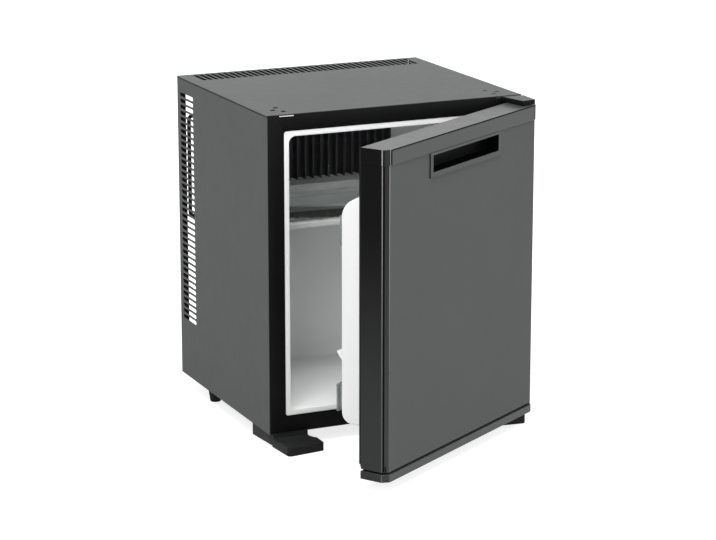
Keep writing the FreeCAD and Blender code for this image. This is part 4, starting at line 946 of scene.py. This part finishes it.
# Painted shade: the bezel's left and right flanks are black.
two_finishes(bezel, paint, pocket_black_and_shade, lambda centre, normal: abs(normal.x) > 0.8)
settle(bezel, "door", "handle_bezel", None)
pocket = block("handle_cup", (POCKET_LEFT, DOOR_FRONT, POCKET_LOW), (POCKET_RIGHT, POCKET_BACK, POCKET_TOP))
pick_faces(pocket, lambda centre, normal: normal.y < -0.9)
bpy.ops.mesh.delete(type="FACE")
bpy.ops.object.mode_set(mode="OBJECT")
bevel_edges(pocket, POCKET_ROUND, segments=4, wanted=lambda a, b: min(a.y, b.y) > POCKET_BACK - NEAR)
apply_modifier(pocket, "SOLIDIFY", thickness=POCKET_WALL * MM, offset=1.0)
settle(pocket, "door", "handle_pocket", pocket_black_and_shade)

# %% [markdown]
# ## Door gasket
# A soft black frame seals the door. Its foot is clipped round the liner, and a narrower bead stands
# up from it towards the cabinet. The frame is a block with a window; the bead is inset and extruded.

# %% Gasket
SEAL_LEFT, SEAL_RIGHT, SEAL_REAR = 2.4, 385.0, -4.0
SEAL_LOW, SEAL_TOP, SEAL_WIDTH = 31.0, 473.0, 12.0
SEAL_WINDOW_REACH = 20.0
SEAL_BORDER, SEAL_DIP = 1.6, 0.9
BEAD_BORDER, BEAD_HEIGHT = 0.8, 4.3
gasket = block("door_seal", (SEAL_LEFT, DOOR_BACK, SEAL_LOW), (SEAL_RIGHT, SEAL_REAR, SEAL_TOP))
cut(gasket, block("window", (SEAL_LEFT + SEAL_WIDTH, -SEAL_WINDOW_REACH, SEAL_LOW + SEAL_WIDTH),
                  (SEAL_RIGHT - SEAL_WIDTH, SEAL_WINDOW_REACH, SEAL_TOP - SEAL_WIDTH)))
pick_faces(gasket, lambda centre, normal: normal.y > 0.9)
bpy.ops.mesh.inset(thickness=SEAL_BORDER * MM)
bpy.ops.transform.translate(value=(0, -SEAL_DIP * MM, 0))
bpy.ops.mesh.inset(thickness=BEAD_BORDER * MM)
bpy.ops.mesh.extrude_region_move(TRANSFORM_OT_translate={"value": (0, BEAD_HEIGHT * MM, 0)})
bpy.ops.object.mode_set(mode="OBJECT")
round_off(gasket, width=0.5, segments=2, angle=50)
settle(gasket, "door", "door_gasket", rubber)
print("seal faces", len(gasket.data.polygons))

# %% [markdown]
# ## Inside of the door
# One white sheet covers the inside of the door, with two tall cheeks that carry the racks. A cheek is
# a block whose upper front edge is pulled down to a slope; the knee and the foot get large bevels, and
# then all edges are rounded as a former would leave them.

# %% Door liner with its cheeks
INNER_LOW, INNER_HIGH = (9.2, DOOR_BACK - 2, 26.2), (390.8, DOOR_BACK, 454.6)
CHEEK_LEFT, CHEEK_RIGHT, CHEEK_THICKNESS = 48.0, 334.0, 18.0
CHEEK_LOW, CHEEK_TOP, CHEEK_REACH = 70.5, 416.0, 57.5
CHEEK_SUNK, CHEEK_SLOPE, CHEEK_KNEE = 1.0, 36.0, 16.0


def far_edge(a, b):
    """True for the edges of a cheek that reach furthest into the cabinet."""
    return min(a.y, b.y) > CHEEK_REACH - NEAR


def cheek(name, left):
    piece = block(name, (left, DOOR_BACK - CHEEK_SUNK, CHEEK_LOW),
                  (left + CHEEK_THICKNESS, CHEEK_REACH, CHEEK_TOP))
    pick_edges(piece, lambda a, b: far_edge(a, b) and min(a.z, b.z) > CHEEK_TOP - NEAR)
    bpy.ops.transform.translate(value=(0, 0, -CHEEK_SLOPE * MM))
    bpy.ops.object.mode_set(mode="OBJECT")
    bevel_edges(piece, CHEEK_KNEE, segments=8, wanted=lambda a, b: far_edge(a, b) and across(a, b))
    round_off(piece, width=3.0, segments=4, angle=60)
    return piece


inner = block("door_inside", INNER_LOW, INNER_HIGH)
round_off(inner, width=0.3, segments=1, angle=60)
add(inner, cheek("left_cheek", CHEEK_LEFT), cheek("right_cheek", CHEEK_RIGHT))
settle(inner, "door", "door_liner", white_liner, smooth=40.0)
for name, node, slot, material in (
        ("rack_upper", "door_rack_upper", "clear_rack", rack_plastic),
        ("rack_lower", "door_rack_lower", "clear_rack", rack_plastic),
        ("rail_for_bottles", "door_bottle_rail", "white_liner", white_liner)):
    settle(softened(name, node, width=0.7, segments=3), "door", node, material, placed=True)
print("inside of the door faces", len(inner.data.polygons))

# %% [markdown]
# ## Floor, light and camera
# The floor takes the shadow. To the camera, in reflections and through glass the floor and the room
# are white, and to everything else they are dim, so a white background costs the fridge no contrast.
# A brighter lamp would do it too, but it would wash out the white liner.

# %% Rays that show the background
def seen_directly(tree):
    """1 for rays from the camera, from a glossy face or through glass, and 0 for the rest."""
    rays = tree.nodes.new("ShaderNodeLightPath")
    total = rays.outputs["Is Camera Ray"]
    for name in ("Is Glossy Ray", "Is Transmission Ray"):
        largest = tree.nodes.new("ShaderNodeMath")
        largest.operation = "MAXIMUM"
        tree.links.new(total, largest.inputs[0])
        tree.links.new(rays.outputs[name], largest.inputs[1])
        total = largest.outputs["Value"]
    return total


# %% Floor
FLOOR_SIZE = 30.0
FLOOR_DARK, FLOOR_LIGHT = 0.4, 0.42
GLOW_BESIDE, GLOW_FAR = 0.78, 1.0
GLOW_START, GLOW_END = 0.3, 1.6
clear_selection()
bpy.ops.mesh.primitive_plane_add(size=FLOOR_SIZE, location=(0, 0, 0))
floor = bpy.context.object
floor.name = "studio_floor"
floor_paint = bpy.data.materials.new("pale_studio_floor")
floor_paint.use_nodes = True
tree = floor_paint.node_tree
base = tree.nodes["Principled BSDF"]
base.inputs["Roughness"].default_value = 0.9
base.inputs["Specular IOR Level"].default_value = 0.0
grain = tree.nodes.new("ShaderNodeGroup")
grain.node_tree = mottle
tone = tree.nodes.new("ShaderNodeMix")
tone.data_type = "RGBA"
tone.inputs["A"].default_value = (FLOOR_DARK, FLOOR_DARK, FLOOR_DARK, 1.0)
tone.inputs["B"].default_value = (FLOOR_LIGHT, FLOOR_LIGHT, FLOOR_LIGHT, 1.0)
tree.links.new(grain.outputs["Patches"], tone.inputs["Factor"])
tree.links.new(tone.outputs["Result"], base.inputs["Base Color"])
place = tree.nodes.new("ShaderNodeTexCoord")
reach = tree.nodes.new("ShaderNodeVectorMath")
reach.operation = "LENGTH"
tree.links.new(place.outputs["Object"], reach.inputs[0])
fade = tree.nodes.new("ShaderNodeMapRange")
fade.inputs["From Min"].default_value, fade.inputs["From Max"].default_value = GLOW_START, GLOW_END
fade.inputs["To Min"].default_value, fade.inputs["To Max"].default_value = GLOW_BESIDE, GLOW_FAR
tree.links.new(reach.outputs["Value"], fade.inputs["Value"])
seen = tree.nodes.new("ShaderNodeMath")
seen.operation = "MULTIPLY"
tree.links.new(seen_directly(tree), seen.inputs[0])
tree.links.new(fade.outputs["Result"], seen.inputs[1])
glow = tree.nodes.new("ShaderNodeEmission")
tree.links.new(seen.outputs["Value"], glow.inputs["Strength"])
both = tree.nodes.new("ShaderNodeAddShader")
tree.links.new(base.outputs["BSDF"], both.inputs[0])
tree.links.new(glow.outputs["Emission"], both.inputs[1])
tree.links.new(both.outputs["Shader"], tree.nodes["Material Output"].inputs["Surface"])
floor.data.materials.append(floor_paint)

# %% Room
ROOM_DIM, ROOM_WHITE = 0.52, 1.0
world = bpy.data.worlds.new("studio_room")
bpy.context.scene.world = world
world.use_nodes = True
tree = world.node_tree
room = tree.nodes["Background"]
room.inputs["Color"].default_value = (1.0, 1.0, 1.0, 1.0)
level = tree.nodes.new("ShaderNodeMapRange")
level.inputs["To Min"].default_value = ROOM_DIM
level.inputs["To Max"].default_value = ROOM_WHITE
tree.links.new(seen_directly(tree), level.inputs["Value"])
tree.links.new(level.outputs["Result"], room.inputs["Strength"])

# %% [markdown]
# Four broad lamps: one overhead and a little in front, one behind on the left, and one on each side
# in front. The lid gets the most light and the door's end the least.

# %% Lamps
def lamp(name, place, aim, size, power):
    """A broad lamp: its place, the point that it faces and its size in metres, and its power in watts."""
    data = bpy.data.lights.new(name, "AREA")
    data.shape = "RECTANGLE"
    data.size, data.size_y = size
    data.energy = power
    light = bpy.data.objects.new(name, data)
    bpy.context.scene.collection.objects.link(light)
    light.location = place
    light.rotation_euler = (Vector(aim) - Vector(place)).to_track_quat("-Z", "Y").to_euler()


lamp("lamp_overhead", place=(-0.25, -0.55, 2.6), aim=(0, 0, 0.25), size=(1.6, 1.6), power=57.0)
lamp("lamp_rear", place=(-0.6, 2.7, 1.4), aim=(0, 0.2, 0.25), size=(1.6, 1.4), power=30.0)
lamp("lamp_front_right", place=(1.7, -2.6, 1.3), aim=(0, -0.1, 0.25), size=(1.8, 1.8), power=40.0)
lamp("lamp_front_left", place=(-2.0, -2.0, 1.5), aim=(0, -0.05, 0.2), size=(1.6, 1.6), power=30.0)

# %% [markdown]
# The camera was fitted to the corners of the cabinet and of the door in the picture: its place, the
# way it looks and its focal length in pixels of a frame 716 pixels wide.

# %% Camera
IMAGE_WIDTH = 716.0
FOCAL_PIXELS = 2572.6
YAW, PITCH = 24.527, 14.383
CAMERA_PLACE = (-1342.5, -3247.7, 1164.9)
eye = bpy.data.cameras.new("photo_camera")
eye.sensor_width = 36.0
eye.lens = FOCAL_PIXELS / IMAGE_WIDTH * eye.sensor_width
eye.clip_start, eye.clip_end = 0.05, 100.0
camera = bpy.data.objects.new("photo_camera", eye)
bpy.context.scene.collection.objects.link(camera)
camera.location = to_packed @ (Vector(CAMERA_PLACE) * MM)
camera.rotation_euler = (math.radians(90 - PITCH), 0, math.radians(-YAW))
bpy.context.scene.camera = camera
bpy.context.scene.view_settings.view_transform = "Standard"
